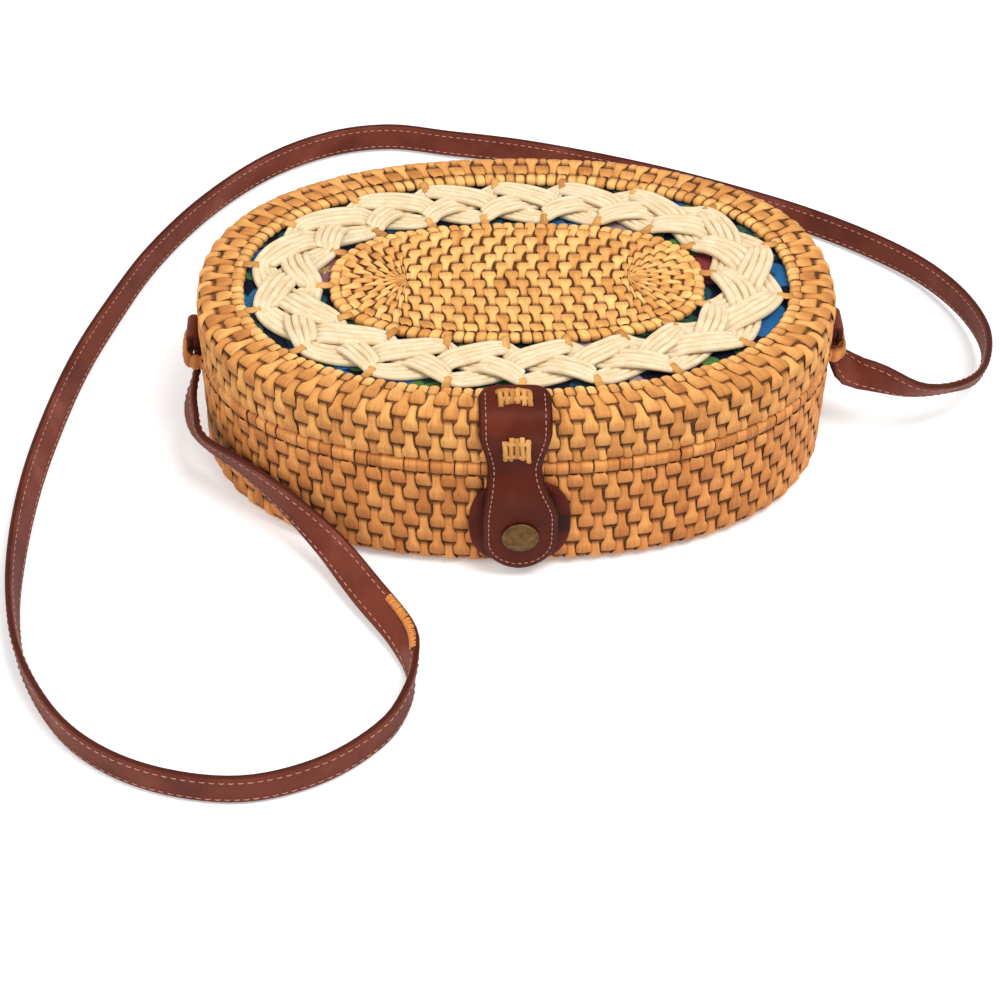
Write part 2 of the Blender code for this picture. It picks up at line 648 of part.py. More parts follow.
def ring_about_hinge(name, across, radius, width, depth, finish):
    """Turn a flat ring about the hinge line: a lashing, or the room that it needs."""
    low, high = radius - depth / 2, radius + depth / 2
    bevel = depth / 4
    profile = [(-width / 2, low + bevel), (-width / 2 + bevel, low), (width / 2 - bevel, low),
               (width / 2, low + bevel), (width / 2, high - bevel), (width / 2 - bevel, high),
               (-width / 2 + bevel, high), (-width / 2, high - bevel)]
    origin = Vector((across, HINGE_Y, SEAM_HEIGHT))
    points = []
    for side in range(RING_SIDES):
        angle = math.tau * side / RING_SIDES
        for aside, reach in profile:
            points.append(origin + Vector((
                aside, reach * math.cos(angle), reach * math.sin(angle)
            )))
    return solid(name, points, loop_faces(RING_SIDES, len(profile), True), finish, origin)


def make_hinges(walls):
    """Lash lid and base together with two ata rings about one line, and cut their slots."""
    for side, name in ((-1, "left"), (1, "right")):
        across = side * RING_SPACING / 2
        ring_about_hinge("hinge_ring_" + name, across, RING_RADIUS, RING_WIDTH,
                         RING_THICKNESS, ATA_TIE)
        room = ring_about_hinge("hinge_slot_" + name, across, RING_RADIUS,
                                RING_WIDTH + 2 * RING_CLEARANCE,
                                RING_THICKNESS + 2 * RING_CLEARANCE, None)
        for wall in walls:
            cut(wall, room)


def bulb_share(height):
    """Return how far the tab has gone over from its waist to its bulb at a height."""
    return smooth((SEAM_HEIGHT - height)
                  / (TAB_BULB_REACH_SHARE * (SEAM_HEIGHT - TAB_BULB_HEIGHT)))


def tab_half_width(height):
    """Return half the tab's width at a height: square root, waist and round bulb."""
    if height >= SEAM_HEIGHT:
        share = smooth((height - SEAM_HEIGHT) / (TAB_WAIST_REACH_SHARE * LID_DEPTH))
        return (TAB_WAIST_WIDTH + (TAB_ROOT_WIDTH - TAB_WAIST_WIDTH) * share) / 2
    if height > TAB_BULB_HEIGHT:
        widening = (TAB_BULB_WIDTH - TAB_WAIST_WIDTH) * bulb_share(height)
        return (TAB_WAIST_WIDTH + widening) / 2
    drop = min(TAB_BULB_HEIGHT - height, TAB_BULB_WIDTH / 2)
    return math.sqrt((TAB_BULB_WIDTH / 2) ** 2 - drop ** 2)


def tab_middle(height):
    """Return where the tab's middle lies across the bag: it leans over towards the snap."""
    return TAB_OFFSET + (SNAP_OFFSET - TAB_OFFSET) * bulb_share(height)


def make_tab_root():
    """Lay the tab's upper part over the rim and down the front of the lid."""
    half = TAB_THICKNESS / 2
    top = BAG_HEIGHT + GAP + half
    start = FRONT_OF_WALL + TAB_OVERLAP
    corner_y = FRONT_OF_WALL + TOP_CORNER_RADIUS
    corner_z = BAG_HEIGHT - TOP_CORNER_RADIUS
    bend = TOP_CORNER_RADIUS + GAP + half
    root_half = TAB_ROOT_WIDTH / 2
    stations = []
    for step in range(TAB_CORNER_STEPS + 1):
        angle = math.pi / 2 * step / TAB_CORNER_STEPS
        centre = Vector((TAB_OFFSET, start - TAB_ROOT_CORNER * (1 - math.cos(angle)), top))
        inside = TAB_ROOT_CORNER * (1 - math.sin(angle))
        stations.append((centre, ACROSS, UP, root_half - inside, half))
    for step in range(TAB_CORNER_STEPS + 1):
        angle = math.pi / 2 * step / TAB_CORNER_STEPS
        face_way = Vector((0.0, -math.sin(angle), math.cos(angle)))
        centre = Vector((TAB_OFFSET, corner_y, corner_z)) + face_way * bend
        stations.append((centre, ACROSS, face_way, root_half, half))
    for step in range(1, TAB_FALL_STEPS + 1):
        height = corner_z + (TAB_BEND_HEIGHT + GAP / 2 - corner_z) * step / TAB_FALL_STEPS
        centre = Vector((tab_middle(height), FRONT_OF_WALL - GAP - half, height))
        stations.append((centre, ACROSS, OUTWARD, tab_half_width(height), half))
    return ribbon("tab_root", stations, LEATHER, TAB_EDGE_BEVEL)


def make_tab_flap():
    """Hang the tab's free part below the bend: it lifts over the patch and ends in a bulb."""
    half = TAB_THICKNESS / 2
    top = TAB_BEND_HEIGHT - GAP / 2
    fall = top - TAB_BULB_HEIGHT
    heights = [top - fall * step / TAB_FLAP_STEPS for step in range(TAB_FLAP_STEPS)]
    for step in range(TAB_BULB_STEPS + 1):
        angle = math.pi / 2 * TAB_BULB_TURN_SHARE * step / TAB_BULB_STEPS
        heights.append(TAB_BULB_HEIGHT - TAB_BULB_WIDTH / 2 * math.sin(angle))
    near = FRONT_OF_WALL - GAP - half
    far = BACK_OF_FLAP - half
    centres = []
    for height in heights:
        share = smooth((TAB_BEND_HEIGHT - height) / TAB_LIFT_REACH)
        centres.append(Vector((tab_middle(height), near + (far - near) * share, height)))
    stations = []
    for place, centre in enumerate(centres):
        after = centres[min(place + 1, len(centres) - 1)]
        before = centres[max(place - 1, 0)]
        way = (after - before).normalized()
        if place == 0:
            way = -UP
        face_way = ACROSS.cross(way).normalized()
        if face_way.y > 0:
            face_way.negate()
        stations.append((centre, ACROSS, face_way, tab_half_width(centre.z), half))
    return ribbon("tab_flap", stations, LEATHER, TAB_EDGE_BEVEL)


def tie_outline(strands, thickness):
    """Return the (across the rows, height) outline of strips laid side by side."""
    outline = []
    for row in range(strands):
        for place_share, height_share in TIE_ROW_SHARES:
            place = (row - strands / 2 + place_share) * TIE_STRAND_WIDTH
            if row and place_share == 0.0:
                height_share = TIE_GROOVE_SHARE
            outline.append((place, thickness / 2 * height_share))
    width = strands * TIE_STRAND_WIDTH
    outline.append((width / 2, thickness / 2 * TIE_ROW_SHARES[0][1]))
    outline.append((width / 2, -thickness / 2))
    outline.append((-width / 2, -thickness / 2))
    return outline


def tie(name, centre, face_way, row_way, span, strands, thickness, depth):
    """Make an ata lashing: strips laid side by side, whose two legs go down through the work."""
    across = row_way.cross(face_way)
    over = GAP + thickness / 2
    leg = (span - thickness) / 2
    points = []
    for out_share, rise_share, turn in TIE_PATH_SHARES:
        depth_here = over * rise_share if rise_share else -depth
        skin = (across * math.copysign(1 - turn, out_share) + face_way * turn).normalized()
        middle = centre + across * (leg * out_share) + face_way * depth_here
        for place, height in tie_outline(strands, thickness):
            points.append(middle + row_way * place + skin * height)
    size = len(points) // len(TIE_PATH_SHARES)
    return solid(name, points, loop_faces(len(TIE_PATH_SHARES), size, False), ATA_TIE)


def tie_room(name, centre, face_way, row_way, span, strands, thickness, depth):
    """Make the two leg holes of a lashing as one cutter."""
    across = row_way.cross(face_way)
    half_row = TIE_STRAND_WIDTH * strands / 2 + GAP
    half_leg = thickness / 2 + GAP
    points = []
    faces = []
    for side in (-1, 1):
        leg = centre + across * (side * (span - thickness) / 2)
        first = len(points)
        for aside in (-half_leg, half_leg):
            for row in (-half_row, half_row):
                for out in (-depth - CUT_OVERRUN, CUT_OVERRUN):
                    points.append(leg + across * aside + row_way * row + face_way * out)
        for face in ((0, 1, 3, 2), (4, 6, 7, 5), (0, 4, 5, 1), (2, 3, 7, 6), (0, 2, 6, 4),
                     (1, 5, 7, 3)):
            faces.append(tuple(first + corner for corner in face))
    return solid(name, points, faces, None)


def make_tab_ties(shell, root):
    """Lash the tab's root to the lid: one tie on the rim and one on the wall."""
    outside = GAP + TAB_THICKNESS
    legs = outside + WALL_THICKNESS
    places = (
        ("tab_tie_upper",
         Vector((TAB_OFFSET, FRONT_OF_WALL + UPPER_TIE_INSET, BAG_HEIGHT + outside)),
         UP, -OUTWARD, UPPER_TIE_SPAN),
        ("tab_tie_lower", Vector((TAB_OFFSET, FRONT_OF_WALL - outside, LOWER_TIE_HEIGHT)),
         OUTWARD, UP, LOWER_TIE_SPAN),
    )
    for name, centre, face_way, row_way, span in places:
        tie(name, centre, face_way, row_way, span, TIE_STRAND_COUNT, TIE_THICKNESS, legs)
        room = tie_room(name + "_room", centre, face_way, row_way, span, TIE_STRAND_COUNT,
                        TIE_THICKNESS, legs)
        cut(shell, room)
        cut(root, room)


def upright_plate(name, profile, finish, size, roundness_share, middle):
    """Stack ovals at (inset, y) into a closed plate that stands upright."""
    half_across, half_up = size
    points = []
    for inset, depth in profile:
        for side in range(PATCH_SIDES):
            angle = math.tau * side / PATCH_SIDES
            edge = oval_point(angle, half_across - inset, half_up - inset, roundness_share)
            points.append(middle + Vector((edge.x, depth, edge.y)))
    return solid(name, points, loop_faces(len(profile), PATCH_SIDES, False), finish)


def make_patch(wall):
    """Put the rounded leather patch on the base's front and lash it on behind the flap."""
    back = FRONT_OF_WALL - GAP
    pocket = SNAP_RIVET_HEAD_THICKNESS + 2 * SNAP_FIT
    shank = SNAP_RIVET_SHANK_DIAMETER / 2 + SNAP_FIT
    bevel = PATCH_THICKNESS / 3
    profile = [(0.0, back), (0.0, FRONT_OF_PATCH + bevel), (bevel, FRONT_OF_PATCH)]
    patch = upright_plate("closure_patch", profile, PATCH_LEATHER,
                          (PATCH_WIDTH / 2, PATCH_LENGTH / 2), PATCH_ROUNDNESS_SHARE,
                          Vector((SNAP_OFFSET, 0.0, PATCH_HEIGHT)))
    seat = turned("snap_seat", [
        (0.0, back + CUT_OVERRUN), (SNAP_RIVET_HEAD_DIAMETER / 2 + SNAP_FIT, back + CUT_OVERRUN),
        (SNAP_RIVET_HEAD_DIAMETER / 2 + SNAP_FIT, back - pocket), (shank, back - pocket),
        (shank, FRONT_OF_PATCH - CUT_OVERRUN), (0.0, FRONT_OF_PATCH - CUT_OVERRUN),
    ], None, SNAP_HEIGHT, SNAP_OFFSET)
    cut(patch, seat)
    depth = PATCH_THICKNESS + GAP + WALL_THICKNESS
    heights = (("upper", PATCH_HEIGHT + PATCH_TIE_RISE), ("lower", PATCH_HEIGHT - PATCH_TIE_DROP))
    for name, height in heights:
        centre = Vector((SNAP_OFFSET, FRONT_OF_PATCH, height))
        tie("patch_tie_" + name, centre, OUTWARD, UP, PATCH_TIE_SPAN, PATCH_TIE_STRAND_COUNT,
            PATCH_TIE_THICKNESS, depth)
        room = tie_room("patch_tie_room_" + name, centre, OUTWARD, UP, PATCH_TIE_SPAN,
                        PATCH_TIE_STRAND_COUNT, PATCH_TIE_THICKNESS, depth)
        cut(patch, room)
        cut(wall, room)


def make_snap(flap):
    """Make the snap: cap and socket in the flap, stud and rivet in the patch."""
    cap = SNAP_CAP_DIAMETER / 2
    post = SNAP_POST_DIAMETER / 2
    socket = SNAP_SOCKET_DIAMETER / 2
    stud = SNAP_STUD_DIAMETER / 2
    neck = SNAP_STUD_NECK_DIAMETER / 2
    flange = SNAP_STUD_FLANGE_DIAMETER / 2
    shank = SNAP_RIVET_SHANK_DIAMETER / 2
    head = SNAP_RIVET_HEAD_DIAMETER / 2
    cap_back = FRONT_OF_FLAP - SNAP_FIT
    socket_back = BACK_OF_FLAP + SNAP_SOCKET_LIP
    socket_front = socket_back - SNAP_SOCKET_THICKNESS
    pocket_floor = socket_front - SNAP_FIT
    flange_back = FRONT_OF_PATCH - SNAP_FIT
    flange_front = flange_back - SNAP_STUD_FLANGE_THICKNESS
    stud_tip = flange_back - SNAP_STUD_LENGTH
    dome = [(cap, cap_back), (cap, cap_back - SNAP_CAP_EDGE)]
    for step in range(1, SNAP_DOME_STEPS):
        angle = math.pi / 2 * step / SNAP_DOME_STEPS
        rise = (SNAP_CAP_RISE - SNAP_CAP_EDGE) * math.sin(angle)
        dome.append((cap * math.cos(angle), cap_back - SNAP_CAP_EDGE - rise))
    dome.append((0.0, cap_back - SNAP_CAP_RISE))
    turned("snap_cap", [(0.0, pocket_floor), (post, pocket_floor), (post, cap_back), *dome],
           ANTIQUE_BRASS, SNAP_HEIGHT, SNAP_OFFSET)
    turned("snap_socket", [
        (stud + SNAP_FIT, socket_back), (socket, socket_back), (socket, socket_front),
        (stud + SNAP_FIT, socket_front),
    ], ANTIQUE_BRASS, SNAP_HEIGHT, SNAP_OFFSET)
    bore = shank + SNAP_FIT
    bore_floor = flange_front - SNAP_FIT
    turned("snap_stud", [
        (0.0, bore_floor), (bore, bore_floor), (bore, flange_back), (flange, flange_back),
        (flange, flange_front), (neck, flange_front), (stud, (flange_front + stud_tip) / 2),
        (neck, stud_tip), (0.0, stud_tip),
    ], ANTIQUE_BRASS, SNAP_HEIGHT, SNAP_OFFSET)
    rivet_back = FRONT_OF_WALL - GAP - SNAP_FIT
    turned("snap_rivet", [
        (0.0, rivet_back), (head, rivet_back), (head, rivet_back - SNAP_RIVET_HEAD_THICKNESS),
        (shank, rivet_back - SNAP_RIVET_HEAD_THICKNESS), (shank, flange_front), (0.0, flange_front),
    ], ANTIQUE_BRASS, SNAP_HEIGHT, SNAP_OFFSET)
    seat = turned("snap_pocket", [
        (0.0, BACK_OF_FLAP + CUT_OVERRUN), (socket + SNAP_FIT, BACK_OF_FLAP + CUT_OVERRUN),
        (socket + SNAP_FIT, pocket_floor), (post + SNAP_FIT, pocket_floor),
        (post + SNAP_FIT, FRONT_OF_FLAP - CUT_OVERRUN), (0.0, FRONT_OF_FLAP - CUT_OVERRUN),
    ], None, SNAP_HEIGHT, SNAP_OFFSET)
    cut(flap, seat)


def side_loop(name, side, grow, finish):
    """Bend a bound band out from one end wall: its legs sit in the wall."""
    half_spread = LOOP_SPREAD / 2
    start = HALF_LENGTH - WALL_THICKNESS + GAP - grow
    root = HALF_LENGTH + GAP
    reach = LOOP_OPENING + LOOP_BAND_THICKNESS / 2 - GAP
    path = [Vector((start, half_spread, 0.0))]
    for step in range(LOOP_STEPS + 1):
        angle = math.pi * step / LOOP_STEPS
        along = math.copysign(abs(math.cos(angle)) ** LOOP_SQUARENESS_SHARE, math.cos(angle))
        out = abs(math.sin(angle)) ** LOOP_SQUARENESS_SHARE
        path.append(Vector((root + reach * out, half_spread * along, 0.0)))
    path.append(Vector((start, -half_spread, 0.0)))
    points = []
    for place, centre in enumerate(path):
        before = path[max(place - 1, 0)]
        after = path[min(place + 1, len(path) - 1)]
        way = (after - before).normalized()
        skin = way.cross(UP)
        for corner in range(LOOP_SIDES):
            angle = math.tau * (corner + 0.5) / LOOP_SIDES
            point = (centre + skin * (LOOP_BAND_THICKNESS / 2 + grow) * math.cos(angle)
                     + UP * (LOOP_BAND_HEIGHT / 2 + grow) * math.sin(angle))
            points.append(Vector((side * point.x, point.y, point.z + LOOP_HEIGHT)))
    return solid(name, points, loop_faces(len(path), LOOP_SIDES, False), finish)


def make_side_loops(wall):
    """Fit a strap loop at each end of the base."""
    for side, name in ((-1, "left"), (1, "right")):
        side_loop("side_loop_" + name, side, 0.0, RATTAN)
        cut(wall, side_loop("side_loop_room_" + name, side, GAP, None))


def between(before, here, there, after, share):
    """Read a smooth curve between two of four vectors."""
    square, cube = share * share, share * share * share
    return (here * 2 + (there - before) * share
            + (before * 2 - here * 5 + there * 4 - after) * square
            + (here * 3 - before - there * 3 + after) * cube) / 2


def strap_stations():
    """Read the strap's route into stations with its width and its face."""
    places = [Vector(place) for place, _ in STRAP_ROUTE]
    widths = [Vector(way) for _, way in STRAP_ROUTE]
    places = [places[0] * 2 - places[1], *places, places[-1] * 2 - places[-2]]
    widths = [widths[0], *widths, widths[-1]]
    line = []
    for leg in range(1, len(places) - 2):
        length = (places[leg + 1] - places[leg]).length
        steps = max(1, round(length / STRAP_STATION_SPACING))
        for step in range(steps):
            share = step / steps
            line.append((between(*places[leg - 1:leg + 3], share),
                         between(*widths[leg - 1:leg + 3], share)))
    line.append((places[-2], widths[-2]))
    stations = []
    for place, (centre, width_way) in enumerate(line):
        before = line[max(place - 1, 0)][0]
        after = line[min(place + 1, len(line) - 1)][0]
        way = (after - before).normalized()
        width_way = (width_way - way * width_way.dot(way)).normalized()
        stations.append((centre, width_way, way.cross(width_way),
                         STRAP_WIDTH / 2, STRAP_THICKNESS / 2))
    return stations


def make_strap():
    """Lay the strap round the bag, with a doubled end above each loop and a sewn join."""
    stations = strap_stations()
    ribbon("shoulder_strap", stations, LEATHER, STRAP_EDGE_BEVEL, flat_edges=False)
    loop_top = LOOP_HEIGHT + LOOP_BAND_HEIGHT / 2
    for side, name, end in ((-1, "left", stations[0]), (1, "right", stations[-1])):
        low = max(loop_top, end[0].z) + GAP
        inner = HALF_LENGTH + GAP
        centre_x = side * (inner + STOP_THICKNESS / 2)
        stop = []
        for height in (low, low + STOP_HEIGHT):
            stop.append((Vector((centre_x, 0.0, height)), Vector((0.0, 1.0, 0.0)), ACROSS,
                         STRAP_WIDTH / 2, STOP_THICKNESS / 2))
        ribbon("strap_end_fold_" + name, stop, LEATHER, STRAP_EDGE_BEVEL)
    make_join(stations)


def walk(stations, place, step, distance):
    """Go a distance along the strap from a station, and return the places passed on the way."""
    passed = []
    while distance > 0.0:
        here, there = stations[place], stations[place + step]
        length = (there[0] - here[0]).length
        share = min(1.0, distance / length)
        passed.append(tuple(here[part].lerp(there[part], share) for part in range(3)))
        distance -= length
        place += step
    return passed


def make_join(stations):
    """Sew the strap's two lengths together: a patch of thread along its upper edge."""
    nearest = min(range(len(stations)), key=lambda place: (stations[place][0] - JOIN_PLACE).length)
    lane = STRAP_WIDTH / 2 - JOIN_WIDTH / 2
    lift = STRAP_THICKNESS / 2 + JOIN_GAP + JOIN_THICKNESS / 2
    line = [*walk(stations, nearest, -1, JOIN_LENGTH / 2)[::-1], stations[nearest][:3],
            *walk(stations, nearest, 1, JOIN_LENGTH / 2)]
    sewn = [(centre + width_way * lane + face_way * lift, width_way, face_way,
             JOIN_WIDTH / 2, JOIN_THICKNESS / 2) for centre, width_way, face_way in line]
    ribbon("strap_join_thread", sewn, THREAD, JOIN_THICKNESS / 3)


def axis_empty(name, place, parent=None):
    """Put an empty on a joint's line, to carry what turns with it."""
    empty = bpy.data.objects.new(name, None)
    empty.empty_display_size = HALF_WIDTH
    bpy.context.scene.collection.objects.link(empty)
    empty.parent = parent
    empty.location = place - parent.location if parent else place
    return empty


def carry(first, names):
    """Hang the named pieces on an empty without moving them."""
    place = first.location + (first.parent.location if first.parent else Vector())
    for name in names:
        thing = bpy.data.objects[name]
        thing.parent = first
        thing.location -= place


def set_joints():
    """Carry the lid's pieces on the hinge line and the flap's on the line where the tab bends."""
    lid_line = axis_empty("lid_line", Vector((0.0, HINGE_Y, SEAM_HEIGHT)))
    bend_y = FRONT_OF_WALL - GAP - TAB_THICKNESS
    flap_line = axis_empty("flap_line", Vector((0.0, bend_y, TAB_BEND_HEIGHT)), lid_line)
    carry(lid_line, LID_PIECES)
    carry(flap_line, FLAP_PIECES)


def main():
    """Build the bag."""
    clear_scene()
    wall = make_base()
    base_lining = make_base_lining()
    shell, rim_hoop = make_lid()
    medallion_hoop = make_medallion()
    lid_lining = make_lid_lining()
    make_plait()
    tie_lobes(rim_hoop, OUTER_LOBE_SHARE, 1)
    tie_lobes(medallion_hoop, INNER_LOBE_SHARE, -1)
    make_hinges((wall, base_lining, shell, lid_lining))
    root = make_tab_root()
    flap = make_tab_flap()
    make_tab_ties(shell, root)
    make_patch(wall)
    make_snap(flap)
    make_side_loops(wall)
    make_strap()
    set_joints()


main()
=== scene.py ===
# %% [markdown]
# # A woven rattan crossbody bag
# The plain solids of the bag come in as a fixed frame, with their sizes and hinges right.
# This lesson dresses that frame: strips of split vine are laid as a twill over the walls,
# cords are plaited round the medallion, and leather gets its stitches. Each piece is made
# where its solid sits, so the bag still opens, and its size does not change.

import bisect
import math
import random

import bpy
from mathutils import Matrix, Vector, noise


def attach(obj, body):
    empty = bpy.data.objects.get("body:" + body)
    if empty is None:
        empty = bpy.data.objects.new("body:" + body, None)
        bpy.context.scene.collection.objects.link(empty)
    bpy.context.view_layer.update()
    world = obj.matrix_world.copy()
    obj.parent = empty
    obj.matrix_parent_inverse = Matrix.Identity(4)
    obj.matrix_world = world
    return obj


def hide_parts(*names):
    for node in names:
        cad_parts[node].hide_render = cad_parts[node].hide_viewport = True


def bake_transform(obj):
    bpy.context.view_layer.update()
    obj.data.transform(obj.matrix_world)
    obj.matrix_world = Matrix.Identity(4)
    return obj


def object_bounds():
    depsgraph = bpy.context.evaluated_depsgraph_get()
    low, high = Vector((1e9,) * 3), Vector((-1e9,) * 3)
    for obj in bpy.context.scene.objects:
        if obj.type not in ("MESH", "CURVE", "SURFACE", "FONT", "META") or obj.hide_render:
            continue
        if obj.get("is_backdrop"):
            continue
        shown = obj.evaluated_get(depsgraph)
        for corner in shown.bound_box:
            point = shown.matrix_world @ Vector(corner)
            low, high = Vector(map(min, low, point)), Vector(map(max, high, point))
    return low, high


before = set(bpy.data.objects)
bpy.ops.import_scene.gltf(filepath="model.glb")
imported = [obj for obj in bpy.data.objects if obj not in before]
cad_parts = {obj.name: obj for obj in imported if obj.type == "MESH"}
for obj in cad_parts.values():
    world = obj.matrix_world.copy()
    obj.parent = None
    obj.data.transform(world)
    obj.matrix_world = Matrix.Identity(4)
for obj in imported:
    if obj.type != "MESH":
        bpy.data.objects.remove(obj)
CAD_BOX = [list(corner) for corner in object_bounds()]
UP = Vector((0.0, 0.0, 1.0))

# %% [markdown]
# ## The camera comes first
# The photograph looks down at the front of the bag from a little to its left. Camera place,
# tilt and lens were fitted to the outline of the oval bag, its seam and the strap on the
# table. They are set before anything else, so that every piece is judged from there. A camera
# could also be aimed by eye, but then each piece would be matched to a slightly wrong view.

# %% Set the camera
CAMERA_PLACE = Vector((-0.03619, -0.62199, 0.57280))
CAMERA_RIGHT = Vector((0.99923, -0.03600, 0.01553))
CAMERA_UP = Vector((0.01416, 0.70075, 0.71326))
CAMERA_BACK = Vector((-0.03656, -0.71249, 0.70072))
camera_data = bpy.data.cameras.new("camera")
camera_data.lens = 83.42
camera_data.sensor_width = 36.0
camera_data.clip_start, camera_data.clip_end = 0.01, 20.0
camera = bpy.data.objects.new("camera", camera_data)
bpy.context.scene.collection.objects.link(camera)
turn = Matrix((CAMERA_RIGHT, CAMERA_UP, CAMERA_BACK)).transposed()
camera.matrix_world = Matrix.Translation(CAMERA_PLACE) @ turn.to_4x4()
bpy.context.scene.camera = camera
print("camera", round(CAMERA_PLACE.length, 3), "m from the middle of the bag")

# %% [markdown]
# ## A heap of small grids
# A basket is hundreds of strips, and each strip is one small curved grid. It is slow to make
# an object for each, so a heap gathers the points, faces and texture places of all of them
# and turns them into one mesh. The texture place of a strip is shifted by whole numbers, so
# that a material can give every strip its own tone.

# %% Gather grids into a mesh
class Heap:
    """Points, faces and texture places of many small grids."""

    def __init__(self):
        self.points, self.faces, self.places = [], [], []

    def grid(self, rows, cells, wrap_row=False, wrap_column=False, flip=False):
        """Add rows of points, with a (u, v) cell for each point."""
        first, across, along = len(self.points), len(rows[0]), len(rows)
        for row in rows:
            self.points.extend(tuple(point) for point in row)
        for j in range(along if wrap_column else along - 1):
            for i in range(across if wrap_row else across - 1):
                corners = []
                for dj, di in ((0, 0), (0, 1), (1, 1), (1, 0)):
                    jj, ii = j + dj, i + di
                    u, v = cells[jj % along][ii % across]
                    u += 1.0 if ii >= across else 0.0
                    v += 1.0 if jj >= along else 0.0
                    corners.append((first + (jj % along) * across + ii % across, (u, v)))
                if flip:
                    corners.reverse()
                self.faces.append(tuple(index for index, _ in corners))
                self.places.extend(place for _, place in corners)

    def fan(self, ring, centre, cell, flip=False):
        """Close a ring of points that are already in the heap with a middle point."""
        middle = len(self.points)
        self.points.append(tuple(centre))
        for place, corner in enumerate(ring):
            face = (corner, ring[(place + 1) % len(ring)], middle)
            self.faces.append(face[::-1] if flip else face)
            self.places.extend([cell] * 3)

    def build(self, name, body, finish, slot, *nodes):
        """Make the object, in its finish, riding on its body in place of its solids."""
        mesh = bpy.data.meshes.new(name)
        mesh.from_pydata(self.points, [], self.faces)
        layer = mesh.uv_layers.new(name="strip")
        for loop, place in zip(layer.data, self.places):
            loop.uv = place
        mesh.polygons.foreach_set("use_smooth", [True] * len(mesh.polygons))
        mesh.materials.append(finish)
        mesh.update()
        thing = bpy.data.objects.new(name, mesh)
        bpy.context.scene.collection.objects.link(thing)
        if body:
            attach(thing, body)
        if nodes:
            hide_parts(*nodes)
        print(name, len(mesh.polygons), "faces")
        return thing


def tube(heap, centres, sections, cell=(0.0, 0.0), closed=False, lengths=1.0):
    """Join rings of points, one round each centre, into a tube, closed or capped."""
    first = len(heap.points)
    rows, cells = [], []
    travelled = 0.0
    size = len(sections[0])
    for place, (centre, section) in enumerate(zip(centres, sections)):
        if place:
            travelled += (centre - centres[place - 1]).length
        rows.append(section)
        cells.append([(cell[0] + i / size, cell[1] + travelled * lengths)
                      for i in range(size)])
    heap.grid(rows, cells, wrap_row=True, wrap_column=closed)
    if not closed:
        last = first + (len(rows) - 1) * size
        heap.fan(list(range(first, first + size)), centres[0], cells[0][0], flip=True)
        heap.fan(list(range(last, last + size)), centres[-1], cells[-1][0])

# %% [markdown]
# ## Node helpers
# Every finish here is made of nodes: a noise for the fibres, a random number for each strip's
# tone, a ramp for the colour. A small helper that adds a node and joins its sockets keeps
# the finishes short enough to read.

# %% Add nodes in one line
class Finish:
    """A material under construction, with its Principled shader."""

    def __init__(self, name, roughness=0.6, metallic=0.0, specular=0.4):
        self.material = bpy.data.materials.new(name)
        self.material.use_nodes = True
        self.tree = self.material.node_tree
        self.shader = self.tree.nodes["Principled BSDF"]
        self.shader.inputs["Roughness"].default_value = roughness
        self.shader.inputs["Metallic"].default_value = metallic
        self.shader.inputs["Specular IOR Level"].default_value = specular

    def add(self, kind, inputs=None, out=0, **settings):
        """Add a node, fill or join its inputs, and return one of its outputs."""
        made = self.tree.nodes.new("ShaderNode" + kind)
        for key, value in settings.items():
            setattr(made, key, value)
        for key, value in (inputs or {}).items():
            socket = made.inputs[key]
            if isinstance(value, bpy.types.NodeSocket):
                self.tree.links.new(value, socket)
            else:
                socket.default_value = value
        return made.outputs[out]

    def math(self, operation, *values):
        """Add a Math node."""
        return self.add("Math", dict(enumerate(values)), operation=operation)

    def ramp(self, value, stops, smooth=True):
        """Turn a value into a colour through (place, colour) stops."""
        socket = self.add("ValToRGB", {"Fac": value})
        ramp = socket.node.color_ramp
        ramp.interpolation = "EASE" if smooth else "LINEAR"
        while len(ramp.elements) < len(stops):
            ramp.elements.new(0.5)
        for element, (place, colour) in zip(ramp.elements, stops):
            element.position = place
            element.color = (*colour, 1.0)
        return socket

    def mix(self, share, first, second, blend="MIX"):
        """Mix two colours."""
        made = self.tree.nodes.new("ShaderNodeMixRGB")
        made.blend_type = blend
        for socket, value in zip(made.inputs, (share, first, second)):
            if isinstance(value, bpy.types.NodeSocket):
                self.tree.links.new(value, socket)
            elif socket.type == "RGBA":
                socket.default_value = (*value, 1.0)
            else:
                socket.default_value = value
        return made.outputs[0]

    def join(self, socket, value):
        """Join a value to a socket of the shader."""
        self.tree.links.new(value, self.shader.inputs[socket])

    def bump(self, height, strength, distance):
        """Raise the surface by a height and return the finished material."""
        normal = self.add("Bump", {"Height": height, "Strength": strength,
                                   "Distance": distance})
        self.join("Normal", normal)
        return self.material
